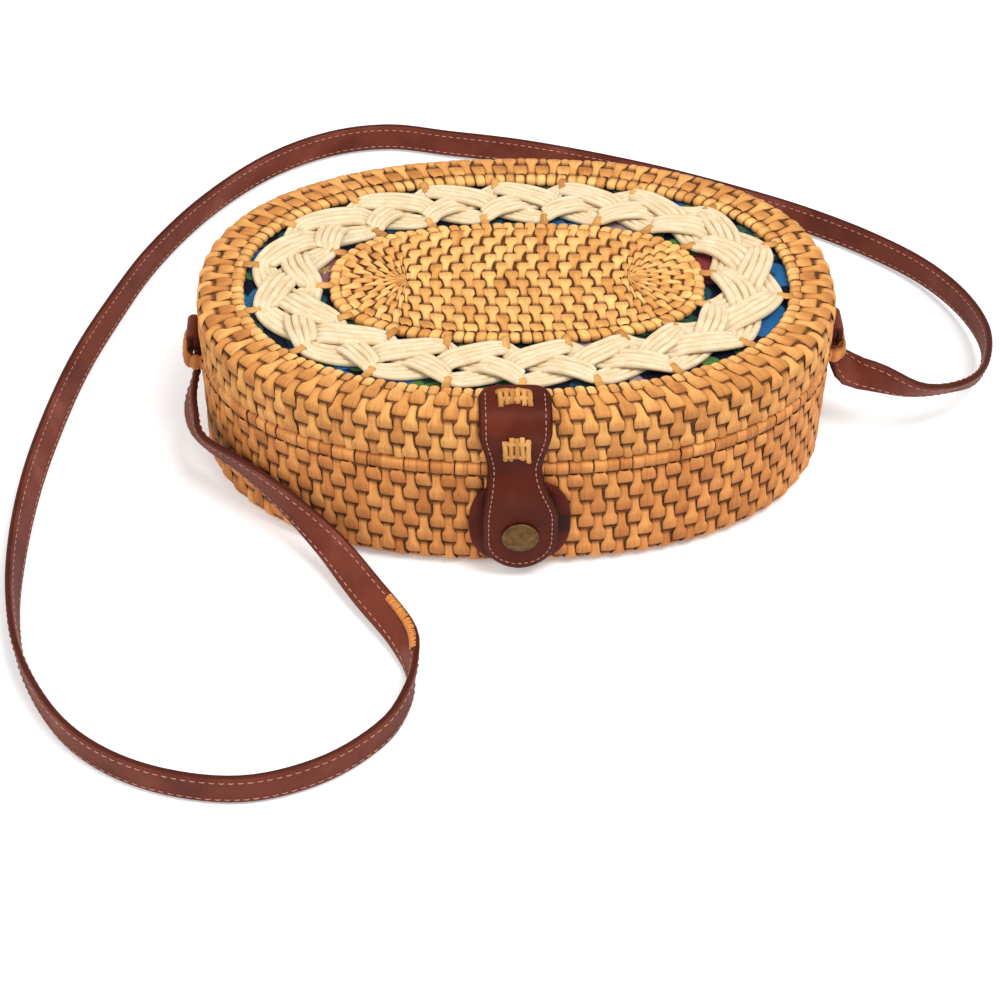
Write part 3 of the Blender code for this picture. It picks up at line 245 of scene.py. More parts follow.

# %% [markdown]
# ## Split vine
# The strips are split from a vine and smoked over a fire, so each has its own tone between
# straw, gold and a reddish tan. Fine fibres run along each strip. Shade is painted on them:
# their rounded edges are a little darker, and their ends, where they dive, take a brown
# painted shadow. Along its length a strip is painted darker at its wide low end and lighter,
# as a painted highlight, where it narrows. The whole number of the texture place picks the
# tone, and its fraction tells edge from middle and end from end. A picture of vine could be
# wrapped round the strips, but it would repeat. Noise and numbers do not, and they can be
# changed in one place.

# %% Make the strip finishes
def strip_finish(name, tones, dark, fibres, shine):
    """Make a finish of split vine from its tones, with painted shade in the dark colour."""
    look = Finish(name, roughness=shine, specular=0.16)
    place = look.add("UVMap", uv_map="strip")
    number = look.add("VectorMath", {0: place}, operation="FLOOR")
    inside = look.add("VectorMath", {0: place}, operation="FRACTION")
    across = look.add("SeparateXYZ", {0: inside}, out=0)
    along = look.add("SeparateXYZ", {0: inside}, out=1)
    chance = look.add("TexWhiteNoise", {0: number}, noise_dimensions="2D")
    tone = look.ramp(chance, tones)
    moved = look.add("VectorMath", {0: place, 1: (fibres, 1.3, 1.0)}, operation="MULTIPLY")
    fibre = look.add("TexNoise", {"Vector": moved, "Scale": 1.0, "Detail": 5.0,
                                  "Roughness": 0.65})
    shade = look.ramp(fibre, ((0.28, (0.55, 0.46, 0.36)), (0.50, (0.95, 0.92, 0.88)),
                              (0.72, (1.16, 1.16, 1.14))))
    colour = look.mix(0.75, tone, shade, "MULTIPLY")
    patchy = look.add("TexNoise", {"Vector": place, "Scale": 0.83, "Detail": 2.0})
    warm = look.ramp(patchy, ((0.35, (0.86, 0.78, 0.70)), (0.62, (1.06, 1.05, 1.02))))
    colour = look.mix(0.8, colour, warm, "MULTIPLY")
    # Painted light along the strip: darker at its wide low end, and lighter where it narrows,
    # as a painted highlight.
    low = look.ramp(along, ((0.0, (0.80, 0.70, 0.62)), (0.22, (0.92, 0.88, 0.84)),
                            (0.46, (1.12, 1.12, 1.08)), (0.80, (1.06, 1.04, 1.0))))
    colour = look.mix(1.0, colour, low, "MULTIPLY")
    # Painted shade: the rounded edges turn darker, and the ends where a strip dives take the
    # dark colour as a painted shadow.
    edge = look.math("ABSOLUTE", look.math("SUBTRACT", across, 0.5))
    edge = look.ramp(edge, ((0.34, (0.0, 0.0, 0.0)), (0.50, (1.0, 1.0, 1.0))))
    end = look.ramp(along, ((0.005, (1.0, 1.0, 1.0)), (0.03, (0.0, 0.0, 0.0)),
                            (0.84, (0.0, 0.0, 0.0)), (0.960, (1.0, 1.0, 1.0))), smooth=False)
    edge_and_end_painted_shade = look.math("MAXIMUM", look.math("MULTIPLY", edge, 0.25), end)
    colour = look.mix(edge_and_end_painted_shade, colour, dark)
    look.join("Base Color", colour)
    return look.bump(fibre, 0.5, 0.0004)


VINE_TONES = (
    (0.00, (0.52, 0.200, 0.056)), (0.25, (0.61, 0.246, 0.071)), (0.50, (0.66, 0.273, 0.082)),
    (0.75, (0.70, 0.303, 0.094)), (1.00, (0.75, 0.345, 0.110)),
)
# The two tone sets below are lit copies of the vine's tones: the same vine painted lighter,
# as painted light, for the lid and most for the faces that look up.
PAINTED_LIGHTER_TONES = (
    (0.00, (0.57, 0.246, 0.070)), (0.30, (0.65, 0.303, 0.090)), (0.60, (0.71, 0.346, 0.108)),
    (1.00, (0.78, 0.403, 0.134)),
)
PAINTED_LIGHTEST_TONES = (
    (0.00, (0.68, 0.330, 0.100)), (0.30, (0.78, 0.420, 0.140)), (0.60, (0.84, 0.480, 0.170)),
    (1.00, (0.90, 0.540, 0.205)),
)
TIE_TONES = (
    (0.00, (0.50, 0.235, 0.068)), (0.35, (0.60, 0.310, 0.098)), (0.70, (0.68, 0.375, 0.130)),
    (1.00, (0.56, 0.275, 0.083)),
)
vine = strip_finish("woven_vine", VINE_TONES, (0.10, 0.035, 0.012), 11.0, 0.52)
# Painted light: these two finishes are brighter copies of the vine, for the lid and for the
# faces that look up.
vine_painted_lighter = strip_finish("woven_vine_painted_lighter", PAINTED_LIGHTER_TONES, (0.15, 0.055, 0.018), 11.0, 0.50)
vine_painted_lightest = strip_finish("woven_vine_painted_lightest", PAINTED_LIGHTEST_TONES, (0.17, 0.062, 0.020), 11.0, 0.50)
binding = strip_finish("bound_edge", VINE_TONES, (0.15, 0.055, 0.018), 9.0, 0.50)
tie_vine = strip_finish("vine_tie", TIE_TONES, (0.16, 0.060, 0.018), 8.0, 0.45)
loop_vine = strip_finish("vine_loop", VINE_TONES, (0.10, 0.034, 0.012), 8.0, 0.45)
print("finishes:", *(finish.name for finish in (vine, vine_painted_lighter, vine_painted_lightest, binding,
                                                tie_vine, loop_vine)))

# %% [markdown]
# Behind the strips lies a plain shell just below them. Its dark brown is painted shade: it
# stands for the shadow in the gaps between the strips, with a rough grain so that a gap never
# looks flat. It could be left out, but then light would shine through between the strips.

# %% Make the core finish
def painted_shade_core_finish():
    """Make the dark brown of painted shade behind the strips."""
    look = Finish("weave_painted_shade_core", roughness=0.85, specular=0.2)
    where = look.add("TexCoord", out=3)
    grain = look.add("TexNoise", {"Vector": where, "Scale": 700.0, "Detail": 4.0})
    look.join("Base Color", look.ramp(grain, ((0.35, (0.07, 0.025, 0.008)),
                                              (0.65, (0.18, 0.065, 0.020)))))
    return look.bump(grain, 0.4, 0.0005)


painted_shade_core = painted_shade_core_finish()
print("finish:", painted_shade_core.name)

# %% [markdown]
# ## Walk round the oval
# The bag is an oval that is a little fuller than an ellipse. A weaver's columns are evenly
# spaced round it, so the script needs to turn a distance walked round the outline into a
# point. It walks the outline once in small steps and keeps the distances in a table. A curve
# object could tell the distances too, but a short table needs no object in the scene.

# %% Measure an oval
FINE_STEPS = 1440
BAG_ROUNDNESS, MEDALLION_ROUNDNESS = 0.885, 0.794


def oval(angle, half_length, half_width, roundness):
    """Return a point of an oval; a roundness below 1 makes it fuller than an ellipse."""
    along, aside = math.cos(angle), math.sin(angle)
    return (half_length * math.copysign(abs(along) ** roundness, along),
            half_width * math.copysign(abs(aside) ** roundness, aside))


class Outline:
    """An oval with a table of the distance walked round it."""

    def __init__(self, half_length, half_width, roundness):
        self.size = (half_length, half_width)
        self.roundness = roundness
        self.angles = [math.tau * step / FINE_STEPS for step in range(FINE_STEPS + 1)]
        self.walked = [0.0]
        before = self.at_angle(0.0, 0.0)
        for angle in self.angles[1:]:
            here = self.at_angle(angle, 0.0)
            self.walked.append(self.walked[-1] + math.dist(before, here))
            before = here
        self.length = self.walked[-1]

    def at_angle(self, angle, inset):
        """Return the (x, y) at an angle, moved in from the edge."""
        return oval(angle, self.size[0] - inset, self.size[1] - inset, self.roundness)

    def at(self, distance, inset):
        """Return the (x, y) at a walked distance, moved in from the edge."""
        distance %= self.length
        place = max(1, bisect.bisect_left(self.walked, distance))
        low, high = self.walked[place - 1], self.walked[place]
        share = (distance - low) / (high - low)
        angle = self.angles[place - 1] + share * (self.angles[place] - self.angles[place - 1])
        return self.at_angle(angle, inset)


BAG_OUTLINE = Outline(0.1100, 0.0720, BAG_ROUNDNESS)
MEDALLION_OUTLINE = Outline(0.0647, 0.0318, MEDALLION_ROUNDNESS)
print("once round the bag:", round(BAG_OUTLINE.length * 1000), "mm")

# %% [markdown]
# ## Surfaces to weave on
# A wall is a profile carried round the oval. A profile is a list of (inset, height) points:
# up the outside, over the corner, along the rim. A strip is laid on a surface with three
# numbers: the distance round, the distance up the profile, and the height above it. Strips
# could also be made flat and wrapped on a sculpted wall by a modifier. Reading the surface
# with numbers gives each point its place at once.

# %% Read points off a wall
def arc(inset, height, radius, start, end, steps=6):
    """Return (inset, height) points of an arc, with angles in degrees."""
    turns = [math.radians(start + (end - start) * step / steps) for step in range(steps + 1)]
    return [(inset + radius * math.cos(t), height + radius * math.sin(t)) for t in turns]


class Wall:
    """A profile carried round an outline."""

    def __init__(self, outline, profile):
        self.outline = outline
        self.profile = profile
        self.walked = [0.0]
        for before, here in zip(profile, profile[1:]):
            self.walked.append(self.walked[-1] + math.dist(before, here))
        self.reach = self.walked[-1]
        ways = []
        for before, here in zip(profile, profile[1:]):
            length = math.dist(before, here)
            ways.append((-(here[1] - before[1]) / length, (here[0] - before[0]) / length))
        self.normals = [ways[0]]
        for one, two in zip(ways, ways[1:]):
            total = (one[0] + two[0], one[1] + two[1])
            size = math.hypot(*total)
            self.normals.append((total[0] / size, total[1] / size))
        self.normals.append(ways[-1])

    def section(self, up, height):
        """Return the (inset, z) at a distance up the profile and a height above it."""
        up = min(max(up, 0.0), self.reach)
        place = min(max(1, bisect.bisect_left(self.walked, up)), len(self.walked) - 1)
        low, high = self.walked[place - 1], self.walked[place]
        share = (up - low) / (high - low)
        spot = [a + (b - a) * share for a, b in zip(self.profile[place - 1],
                                                    self.profile[place])]
        way = [a + (b - a) * share for a, b in zip(self.normals[place - 1],
                                                   self.normals[place])]
        size = math.hypot(*way)
        return spot[0] + way[0] / size * height, spot[1] + way[1] / size * height

    def at(self, distance, up, height):
        """Return the point at a distance round, a distance up and a height above."""
        inset, z = self.section(up, height)
        x, y = self.outline.at(distance, inset)
        return Vector((x, y, z))


def reach_of(wall, z):
    """Find how far up a wall's profile a height lies."""
    for (_, low), (_, high), walked in zip(wall.profile, wall.profile[1:], wall.walked):
        if low <= z <= high and high > low:
            return walked + z - low
    return wall.reach

# %% [markdown]
# ## One float of the twill
# In a twill each strip passes over two rows and then dives. Its low end is wide and flat.
# From a third of its length on it narrows to a round ridge, and its top dives where the next
# strip of its column begins. Columns start one row apart, so a wide end always lies between
# two narrow ones, and small dark gaps are left at its corners. A float is a grid, 5 cells
# wide, with a crown across it, and the tables say how it rises and narrows along its length.
# A picture of a weave on a smooth wall would be quicker, but its outline would stay smooth,
# and no strip would throw a shadow.

# %% Shape the strips in tables
MM = 0.001
ACROSS = (-1.0, -0.82, -0.34, 0.34, 0.82, 1.0)
CROWN = (-0.70, -0.22, 0.0, 0.0, -0.22, -0.70)
TWILL = (
    # share along, height in mm, half width as a share of the pitch, shift in mm, crown
    (0.030, -0.75, 0.60, 0.00, 0.5), (0.050, -0.08, 0.63, 0.00, 0.6),
    (0.100, 0.18, 0.65, 0.00, 0.6), (0.220, 0.28, 0.65, 0.00, 0.6),
    (0.340, 0.34, 0.63, 0.04, 0.7), (0.390, 0.37, 0.56, 0.08, 0.9),
    (0.450, 0.38, 0.43, 0.12, 1.1), (0.520, 0.36, 0.37, 0.16, 1.2),
    (0.680, 0.28, 0.34, 0.20, 1.2), (0.810, 0.10, 0.33, 0.22, 1.1),
    (0.890, -0.12, 0.33, 0.22, 1.0), (0.935, -0.42, 0.32, 0.22, 0.8),
    (0.970, -0.75, 0.31, 0.22, 0.7),
)
BEAD = (
    (0.000, -0.70, 0.43, 0.00, 1.0), (0.080, -0.08, 0.45, 0.00, 1.2),
    (0.260, 0.12, 0.46, 0.00, 1.4), (0.420, 0.14, 0.46, 0.00, 1.4),
    (0.580, 0.14, 0.46, 0.00, 1.4), (0.740, 0.12, 0.46, 0.00, 1.4),
    (0.920, -0.08, 0.45, 0.00, 1.2), (1.000, -0.70, 0.43, 0.00, 1.0),
)
FLAT_WRAP = tuple((share, rise, 0.49, 0.0, 0.4) for share, rise, *_ in BEAD)
print("rows in a float:", len(TWILL), "and in a wrap:", len(BEAD))

# %% Lay a float
def part_of(form, first, last):
    """Cut a form short: it keeps the rows between two shares and ends there."""
    rows = []
    for share in (first, *[row[0] for row in form if first < row[0] < last], last):
        share = min(max(share, form[0][0]), form[-1][0])
        place = max(1, bisect.bisect_left([row[0] for row in form], share))
        before, after = form[place - 1], form[place]
        step = (share - before[0]) / (after[0] - before[0])
        rows.append([a + (b - a) * step for a, b in zip(before, after)])
    return rows


def lay(heap, surface, where, low, high, pitch, cell, chance, form=TWILL, lean=1.0,
        scale=1.0, shown=(0.0, 1.0), turned_over=False, uneven=0.10):
    """Lay one strip on a surface from low to high, centred where its column is."""
    wide = chance.uniform(0.93, 1.06)
    drift = chance.gauss(0.0, 0.17) * MM
    lift = chance.uniform(-uneven, uneven)
    lean_here = lean * chance.uniform(0.6, 1.4) * MM
    rows, cells = [], []
    for share, rise, half, shift, crown_size in part_of(form, *shown):
        gone = (share - shown[0]) / (shown[1] - shown[0])
        if turned_over:
            gone, shift = 1.0 - gone, -shift
        up = low + (high - low) * gone
        middle = where + drift + shift * MM - lean_here * (gone - 0.5)
        row, cell_row = [], []
        for side, crown in zip(ACROSS, CROWN):
            height = (rise + lift + crown * crown_size) * scale * MM
            row.append(surface.at(middle + side * half * wide * pitch, up, height))
            cell_row.append((cell[0] + 0.02 + 0.48 * (side + 1),
                             cell[1] + 0.005 + 0.99 * share))
        rows.append(row)
        cells.append(cell_row)
    heap.grid(rows, cells, flip=turned_over)

# %% Put a shell behind the strips
CORE_FRONT, CORE_BACK = -0.0006, -0.0029
CORE_STEPS, CORE_ROWS = 72, 24


def shell(name, wall, low, high, body):
    """Make the closed shell behind the strips of a wall."""
    heap = Heap()
    ups = [low + (high - low) * place / CORE_ROWS for place in range(CORE_ROWS + 1)]
    rows = []
    for step in range(CORE_STEPS):
        distance = wall.outline.length * step / CORE_STEPS
        section = [wall.at(distance, up, CORE_FRONT) for up in ups]
        section += [wall.at(distance, up, CORE_BACK) for up in reversed(ups)]
        rows.append(section)
    cells = [[(0.0, 0.0)] * len(rows[0])] * CORE_STEPS
    heap.grid(rows, cells, wrap_row=True, wrap_column=True, flip=True)
    heap.build(name, body, painted_shade_core, None)

# %% [markdown]
# ## The lower basket
# The lower half of the bag is one woven wall that turns in below as a foot. Its profile
# starts under the foot, turns round its edge and runs up to the bound edge at the seam. Rows
# are 6.4 mm high and there are 140 columns, so a column is 4.2 mm wide. Neighbouring columns
# start one row apart, which is what makes the steps of the twill. An array along a curve
# could repeat one strip, but all would be alike, so a loop lays each one with small
# differences.

# %% Draw the lower basket's profile
FOOT_RADIUS, EDGE_RADIUS = 0.0060, 0.0016
base_profile = [(0.0112, 0.0), (0.0085, 0.0)]
base_profile += arc(FOOT_RADIUS, FOOT_RADIUS, FOOT_RADIUS, 270, 180)
base_profile += [(0.0, z / 1000) for z in range(10, 46, 5)]
base_profile += arc(EDGE_RADIUS, 0.04625, EDGE_RADIUS, 180, 0, 8)
base_profile += [(0.0032, 0.0448)]
base_surface = Wall(BAG_OUTLINE, base_profile)
EDGE_START = reach_of(base_surface, 0.0427)
BASE_CORE_END = reach_of(base_surface, 0.0444)
print("up the lower wall:", round(base_surface.reach * 1000, 1), "mm")

# %% Weave the lower basket
COLUMNS = 140
PITCH = BAG_OUTLINE.length / COLUMNS
BASE_ROWS = 8
base_row = EDGE_START / BASE_ROWS
chance = random.Random(7)


def weave(heap, surface, bottom, row, rows, columns, pitch, chance, **how):
    """Cover a surface with floats of two rows, cut short at its first and last row."""
    for column in range(columns):
        for start in range(-1, rows):
            if (start + column) % 2:
                continue
            low = max(bottom, bottom + start * row)
            high = min(bottom + rows * row, bottom + (start + 2) * row)
            shown = (0.5 if start == -1 else 0.0, 0.5 if start == rows - 1 else 1.0)
            lay(heap, surface, column * pitch, low, high, pitch, (column, start + 1),
                chance, shown=shown, **how)


heap = Heap()
weave(heap, base_surface, 0.0, base_row, BASE_ROWS, COLUMNS, PITCH, chance)
heap.build("base_weave", "base", vine, "woven_rattan", "base_wall")
shell("base_painted_shade_core", base_surface, 0.0, BASE_CORE_END, "base")

# %% [markdown]
# The upper edge is bound: strips go up the outside, over a round hoop and down inside. A wrap
# is one column wide. Their widths differ a little, so some pairs close up and others leave a
# dark line. One ribbed tube would be simpler, and too even.

# %% Bind the edge of the lower basket
def bind(heap, surface, low, high, pitch, chance, form=BEAD, uneven=0.22):
    """Wrap strips over an edge, one beside the other."""
    count = round(surface.outline.length / pitch)
    pitch = surface.outline.length / count
    for turn in range(count):
        lay(heap, surface, turn * pitch, low, high, pitch, (turn, 0), chance, form,
            lean=0.2, uneven=uneven)


heap = Heap()
bind(heap, base_surface, EDGE_START - 0.0004, base_surface.reach, PITCH, chance, FLAT_WRAP,
     0.10)
heap.build("base_edge_binding", "base", binding, "wrapped_rattan", "base_edge_hoop")

# %% [markdown]
# ## The lid
# The lid's profile starts inside its bound lower edge, goes round that edge, up the wall,
# over the corner and along the flat rim to the inner hoop. The twill follows the same way, so
# on the rim its strips lie like rays. The last row is wrapped over the inner hoop. Wall and
# rim could be woven apart, but then their columns would not meet at the corner.

# %% Draw the lid's profile
LID_TOP, CORNER_RADIUS = 0.0680, 0.0045
lid_profile = [(0.0032, 0.0512)]
lid_profile += arc(EDGE_RADIUS, 0.04975, EDGE_RADIUS, 0, -180, 8)
lid_profile += [(0.0, z / 1000) for z in range(52, 64, 4)]
lid_profile += arc(CORNER_RADIUS, 0.0635, CORNER_RADIUS, 180, 90)
lid_profile += [(0.0080, LID_TOP), (0.0120, LID_TOP)]
flat_end = len(lid_profile) - 1
lid_profile += arc(0.0144, 0.0664, EDGE_RADIUS, 90, 0, 5)
lid_profile += [(0.0160, 0.0650)]
lid_surface = Wall(BAG_OUTLINE, lid_profile)
LID_START = reach_of(lid_surface, 0.0486)
LID_END = lid_surface.walked[flat_end] + 0.0002
print("up the lid and over its rim:", round(lid_surface.reach * 1000, 1), "mm")

# %% Weave and bind the lid
LID_ROWS = 5
lid_row = (LID_END - LID_START) / LID_ROWS
heap = Heap()
weave(heap, lid_surface, LID_START, lid_row, LID_ROWS, COLUMNS, PITCH, chance)
heap.build("lid_weave", "lid", vine_painted_lighter, "woven_rattan", "lid_shell")
heap = Heap()
bind(heap, lid_surface, LID_END - 0.0006, lid_surface.reach, PITCH, chance)
heap.build("rim_binding", "lid", vine_painted_lightest, "wrapped_rattan", "rim_inner_hoop")
heap = Heap()
bind(heap, lid_surface, 0.0, LID_START + 0.0002, PITCH, chance, FLAT_WRAP, 0.06)
heap.build("lid_edge_binding", "lid", binding, "wrapped_rattan", "lid_edge_hoop")
shell("lid_painted_shade_core", lid_surface, LID_START + 0.0010, lid_surface.reach - 0.0010, "lid")
print("rows of", round(base_row * 1000, 2), "and", round(lid_row * 1000, 2), "mm")

# %% [markdown]
# ## The medallion
# The oval in the middle of the lid is woven straight across: its columns run from the front
# edge to the back edge, and at both ends they fan out from a point. Its surface is read like
# the wall's: a distance round the edge and a distance inwards. Past the middle, a strip goes
# on to the other side. All the wide ends look to the back, so the floats of the front half
# are laid the other way round. Rings of strips round the oval would be simpler, but the
# photograph shows straight columns.

# %% Make a flat surface to weave on
NEAR_SPINE = 0.985


class Fan:
    """A flat surface between an outline and a spine; side is -1 where it faces down."""

    def __init__(self, outline, inset, spine, level, side=1.0):
        self.outline, self.inset, self.spine = outline, inset, spine
        self.level, self.side = level, side
        self.reach = outline.size[1] - inset

    def at(self, distance, up, height):
        """Return the point at a distance round, a distance inwards and a height above."""
        if up > self.reach:
            distance, up = self.outline.length - distance, 2 * self.reach - up
        x, y = self.outline.at(distance * self.side, self.inset)
        share = min(up / self.reach, 1.0 if abs(x) < self.spine else NEAR_SPINE)
        end = max(-self.spine, min(self.spine, x))
        return Vector((x + (end - x) * share, y * (1 - share),
                       self.level + height * self.side))


# %% Weave the medallion
MEDALLION_COLUMNS, MEDALLION_ROWS = 82, 6
FAN_MARGIN, MEDALLION_LEAN = 0.0040, 1.4
medallion_top = Fan(MEDALLION_OUTLINE, 0.0036, 0.0380, LID_TOP)
medallion_pitch = MEDALLION_OUTLINE.length / MEDALLION_COLUMNS
medallion_row = medallion_top.reach / MEDALLION_ROWS
heap = Heap()
for column in range(MEDALLION_COLUMNS):
    x, y = MEDALLION_OUTLINE.at(column * medallion_pitch, 0.0)
    straight = abs(x) < medallion_top.spine - FAN_MARGIN
    for start in range(-1, MEDALLION_ROWS):
        last_row = start == MEDALLION_ROWS - 1
        if (start + column) % 2 or last_row and straight and y > 0:
            continue
        cut_in = last_row and not straight
        low = max(0.0, start * medallion_row)
        high = (start + (1 if cut_in else 2)) * medallion_row
        shown = (0.5, 1.0) if (start == -1) != (y < 0) else (0.0, 0.5)
        whole = start > -1 and not cut_in
        lay(heap, medallion_top, column * medallion_pitch, low, high, medallion_pitch,
            (column, start + 1), chance, lean=MEDALLION_LEAN * (-1 if y > 0 else 1),
            shown=(0.0, 1.0) if whole else shown, turned_over=y < 0)
heap.build("medallion_weave", "lid", vine_painted_lightest, "woven_rattan", "lid_medallion")
print("medallion rows of", round(medallion_row * 1000, 2), "mm")

# %% Bind the medallion's edge
medallion_profile = [(0.0, 0.0650)] + arc(EDGE_RADIUS, 0.0664, EDGE_RADIUS, 180, 90, 5)
medallion_profile += [(0.0042, LID_TOP)]
medallion_edge = Wall(MEDALLION_OUTLINE, medallion_profile)
heap = Heap()
bind(heap, medallion_edge, 0.0, medallion_edge.reach, medallion_pitch, chance)
heap.build("medallion_binding", "lid", vine_painted_lightest, "wrapped_rattan", "medallion_hoop")

# %% [markdown]
# ## The floor
# Under the basket one sees its woven floor, a little above the table inside the foot. It is
# made as the medallion is: floats on a flat surface, here one that faces down, and an oval
# plate behind them that closes the weave, dark with painted shade. A plain plate would be
# enough for the photograph's view, but a part is also seen from below.

# %% Make the dark plates and weave the floor
def plate(name, outline, profile, body):
    """Make a flat oval plate from (inset, z) points, closed above and below."""
    heap = Heap()
    rows = [[Vector((*outline.at(outline.length * step / CORE_STEPS, inset), z))
             for step in range(CORE_STEPS)] for inset, z in profile]
    heap.grid(rows, [[(0.0, 0.0)] * CORE_STEPS] * len(rows), wrap_row=True)
    heap.fan(list(range(CORE_STEPS)), (0.0, 0.0, profile[0][1]), (0.0, 0.0), flip=True)
    last = (len(profile) - 1) * CORE_STEPS
    heap.fan(list(range(last, last + CORE_STEPS)), (0.0, 0.0, profile[-1][1]), (0.0, 0.0))
    heap.build(name, body, painted_shade_core, None)


plate("medallion_painted_shade_core", MEDALLION_OUTLINE,
      [(0.0030, 0.0650), (0.0012, 0.0652), (0.0010, 0.0664), (0.0020, 0.0671),
       (0.0040, 0.0671)], "lid")
FLOOR_COLUMNS, FLOOR_ROWS = 120, 9
FLOOR_OUTLINE = Outline(0.0988, 0.0608, BAG_ROUNDNESS)
floor_under = Fan(FLOOR_OUTLINE, 0.0, 0.0390, 0.0004, side=-1.0)
heap = Heap()
weave(heap, floor_under, 0.0, floor_under.reach / FLOOR_ROWS, FLOOR_ROWS, FLOOR_COLUMNS,
      FLOOR_OUTLINE.length / FLOOR_COLUMNS, chance, lean=0.3, scale=0.6)
heap.build("floor_weave", "base", vine, "woven_rattan", "base_floor")
plate("floor_painted_shade_core", FLOOR_OUTLINE, [(0.0, 0.0008), (-0.0010, 0.0012), (-0.0020, 0.0028),
                                    (0.0, 0.0030)], "base")

# %% [markdown]
# ## The cream plait
# Three strands run round the medallion in one endless plait. Each strand is four soft cords
# side by side, and it swings from rim to medallion while it goes over one strand and under
# the next. The middle line of a strand comes from a formula: a sine for the swing and a
# steeper wave, twice as fast, for the rise at each crossing. At the rim and at the medallion
# a strand turns back on the spot, so it hurries along between and waits at its turns. The
# lobes lean over: to the left at the rim, to the right at the medallion. Where the band is
# wide, at the bag's ends, the cords are fuller and the lobes stay further from its edges.
# Three curves could be drawn by hand instead. A formula makes all the crossings alike, and a
# change of one value moves them all.

# %% Walk between the medallion and the rim
PLAIT_INNER, PLAIT_OUTER = (0.0651, 0.0322), (0.0936, 0.0556)
STRANDS, PERIODS = 3, 6
STEPS_A_PERIOD, TRACK_STEPS = 72, 10


def band_track(steps):
    """Return pairs of points, on the medallion and on the rim, at an even pace."""
    pairs, walked = [], [0.0]
    for step in range(FINE_STEPS + 1):
        angle = math.tau * step / FINE_STEPS
        inner = Vector((*oval(angle, *PLAIT_INNER, MEDALLION_ROUNDNESS), 0.0))
        outer = Vector((*oval(angle, *PLAIT_OUTER, BAG_ROUNDNESS), 0.0))
        if pairs:
            middle = (inner + outer) / 2 - (pairs[-1][0] + pairs[-1][1]) / 2
            walked.append(walked[-1] + middle.length)
        pairs.append((inner, outer))
    track = []
    for step in range(steps):
        wanted = walked[-1] * step / steps
        place = max(1, bisect.bisect_left(walked, wanted))
        share = (wanted - walked[place - 1]) / (walked[place] - walked[place - 1])
        track.append([pairs[place - 1][k].lerp(pairs[place][k], share) for k in (0, 1)])
    return track


track = band_track(PERIODS * STEPS_A_PERIOD * TRACK_STEPS)
print("places on the plait's track:", len(track))

# %% Follow the strands
STRAND_WIDTH, CORD_DIAMETER = 0.0086, 0.00225
PLAIT_LEVEL, CROSSING_RISE = 0.0671, 0.00145
TURN_SHARE, TURN_SQUEEZE = 0.58, 0.34
LOBE_SHIFT, LOBE_LEAN = 0.045, 0.045
EDGE_ROOM, EDGE_ROOM_MORE, NARROW_ROOM = 0.0038, 0.35, 0.0234


def track_place(strand, phase):
    """Find the points on the medallion and on the rim that a strand passes at a phase."""
    gone = (phase + TURN_SHARE * math.sin(2 * phase) / 2) / math.tau
    gone -= strand / STRANDS + LOBE_SHIFT
    inner, outer = track[round(gone * STEPS_A_PERIOD * TRACK_STEPS) % len(track)]
    side = -(inner.y + outer.y) / (PLAIT_INNER[1] + PLAIT_OUTER[1])
    gone -= LOBE_LEAN * side * math.sin(phase) ** 3
    return track[round(gone * STEPS_A_PERIOD * TRACK_STEPS) % len(track)]


def edge_room(room):
    """Tell how far a lobe's middle line stays from the edge where the band is this wide."""
    return EDGE_ROOM + EDGE_ROOM_MORE * max(0.0, room - NARROW_ROOM)


def strand_line(strand):
    """Return (centre, sideways, up, squeeze, fuller) stations of a strand."""
    centres = []
    for step in range(PERIODS * STEPS_A_PERIOD):
        phase = math.tau * step / STEPS_A_PERIOD
        inner, outer = track_place(strand, phase)
        room = (outer - inner).length
        tip = math.sin(phase)
        swing = (1 + (room - 2 * edge_room(room)) / room * tip) / 2
        wave = math.sin(2 * phase)
        lift = wave / math.sqrt(wave * wave + 0.05 + 1.1 * tip ** 4)
        centre = inner.lerp(outer, swing)
        centre.z = PLAIT_LEVEL + CROSSING_RISE * lift
        centres.append((centre, 1 - TURN_SQUEEZE * tip ** 4, (room / NARROW_ROOM) ** 1.25))
    stations = []
    for step, (centre, squeeze, fuller) in enumerate(centres):
        way = (centres[(step + 1) % len(centres)][0] - centres[step - 1][0]).normalized()
        side = way.cross(UP).normalized()
        stations.append((centre, side, side.cross(way), squeeze, fuller))
    return stations


strand_lines = [strand_line(strand) for strand in range(STRANDS)]
print("stations in a strand:", len(strand_lines[0]))

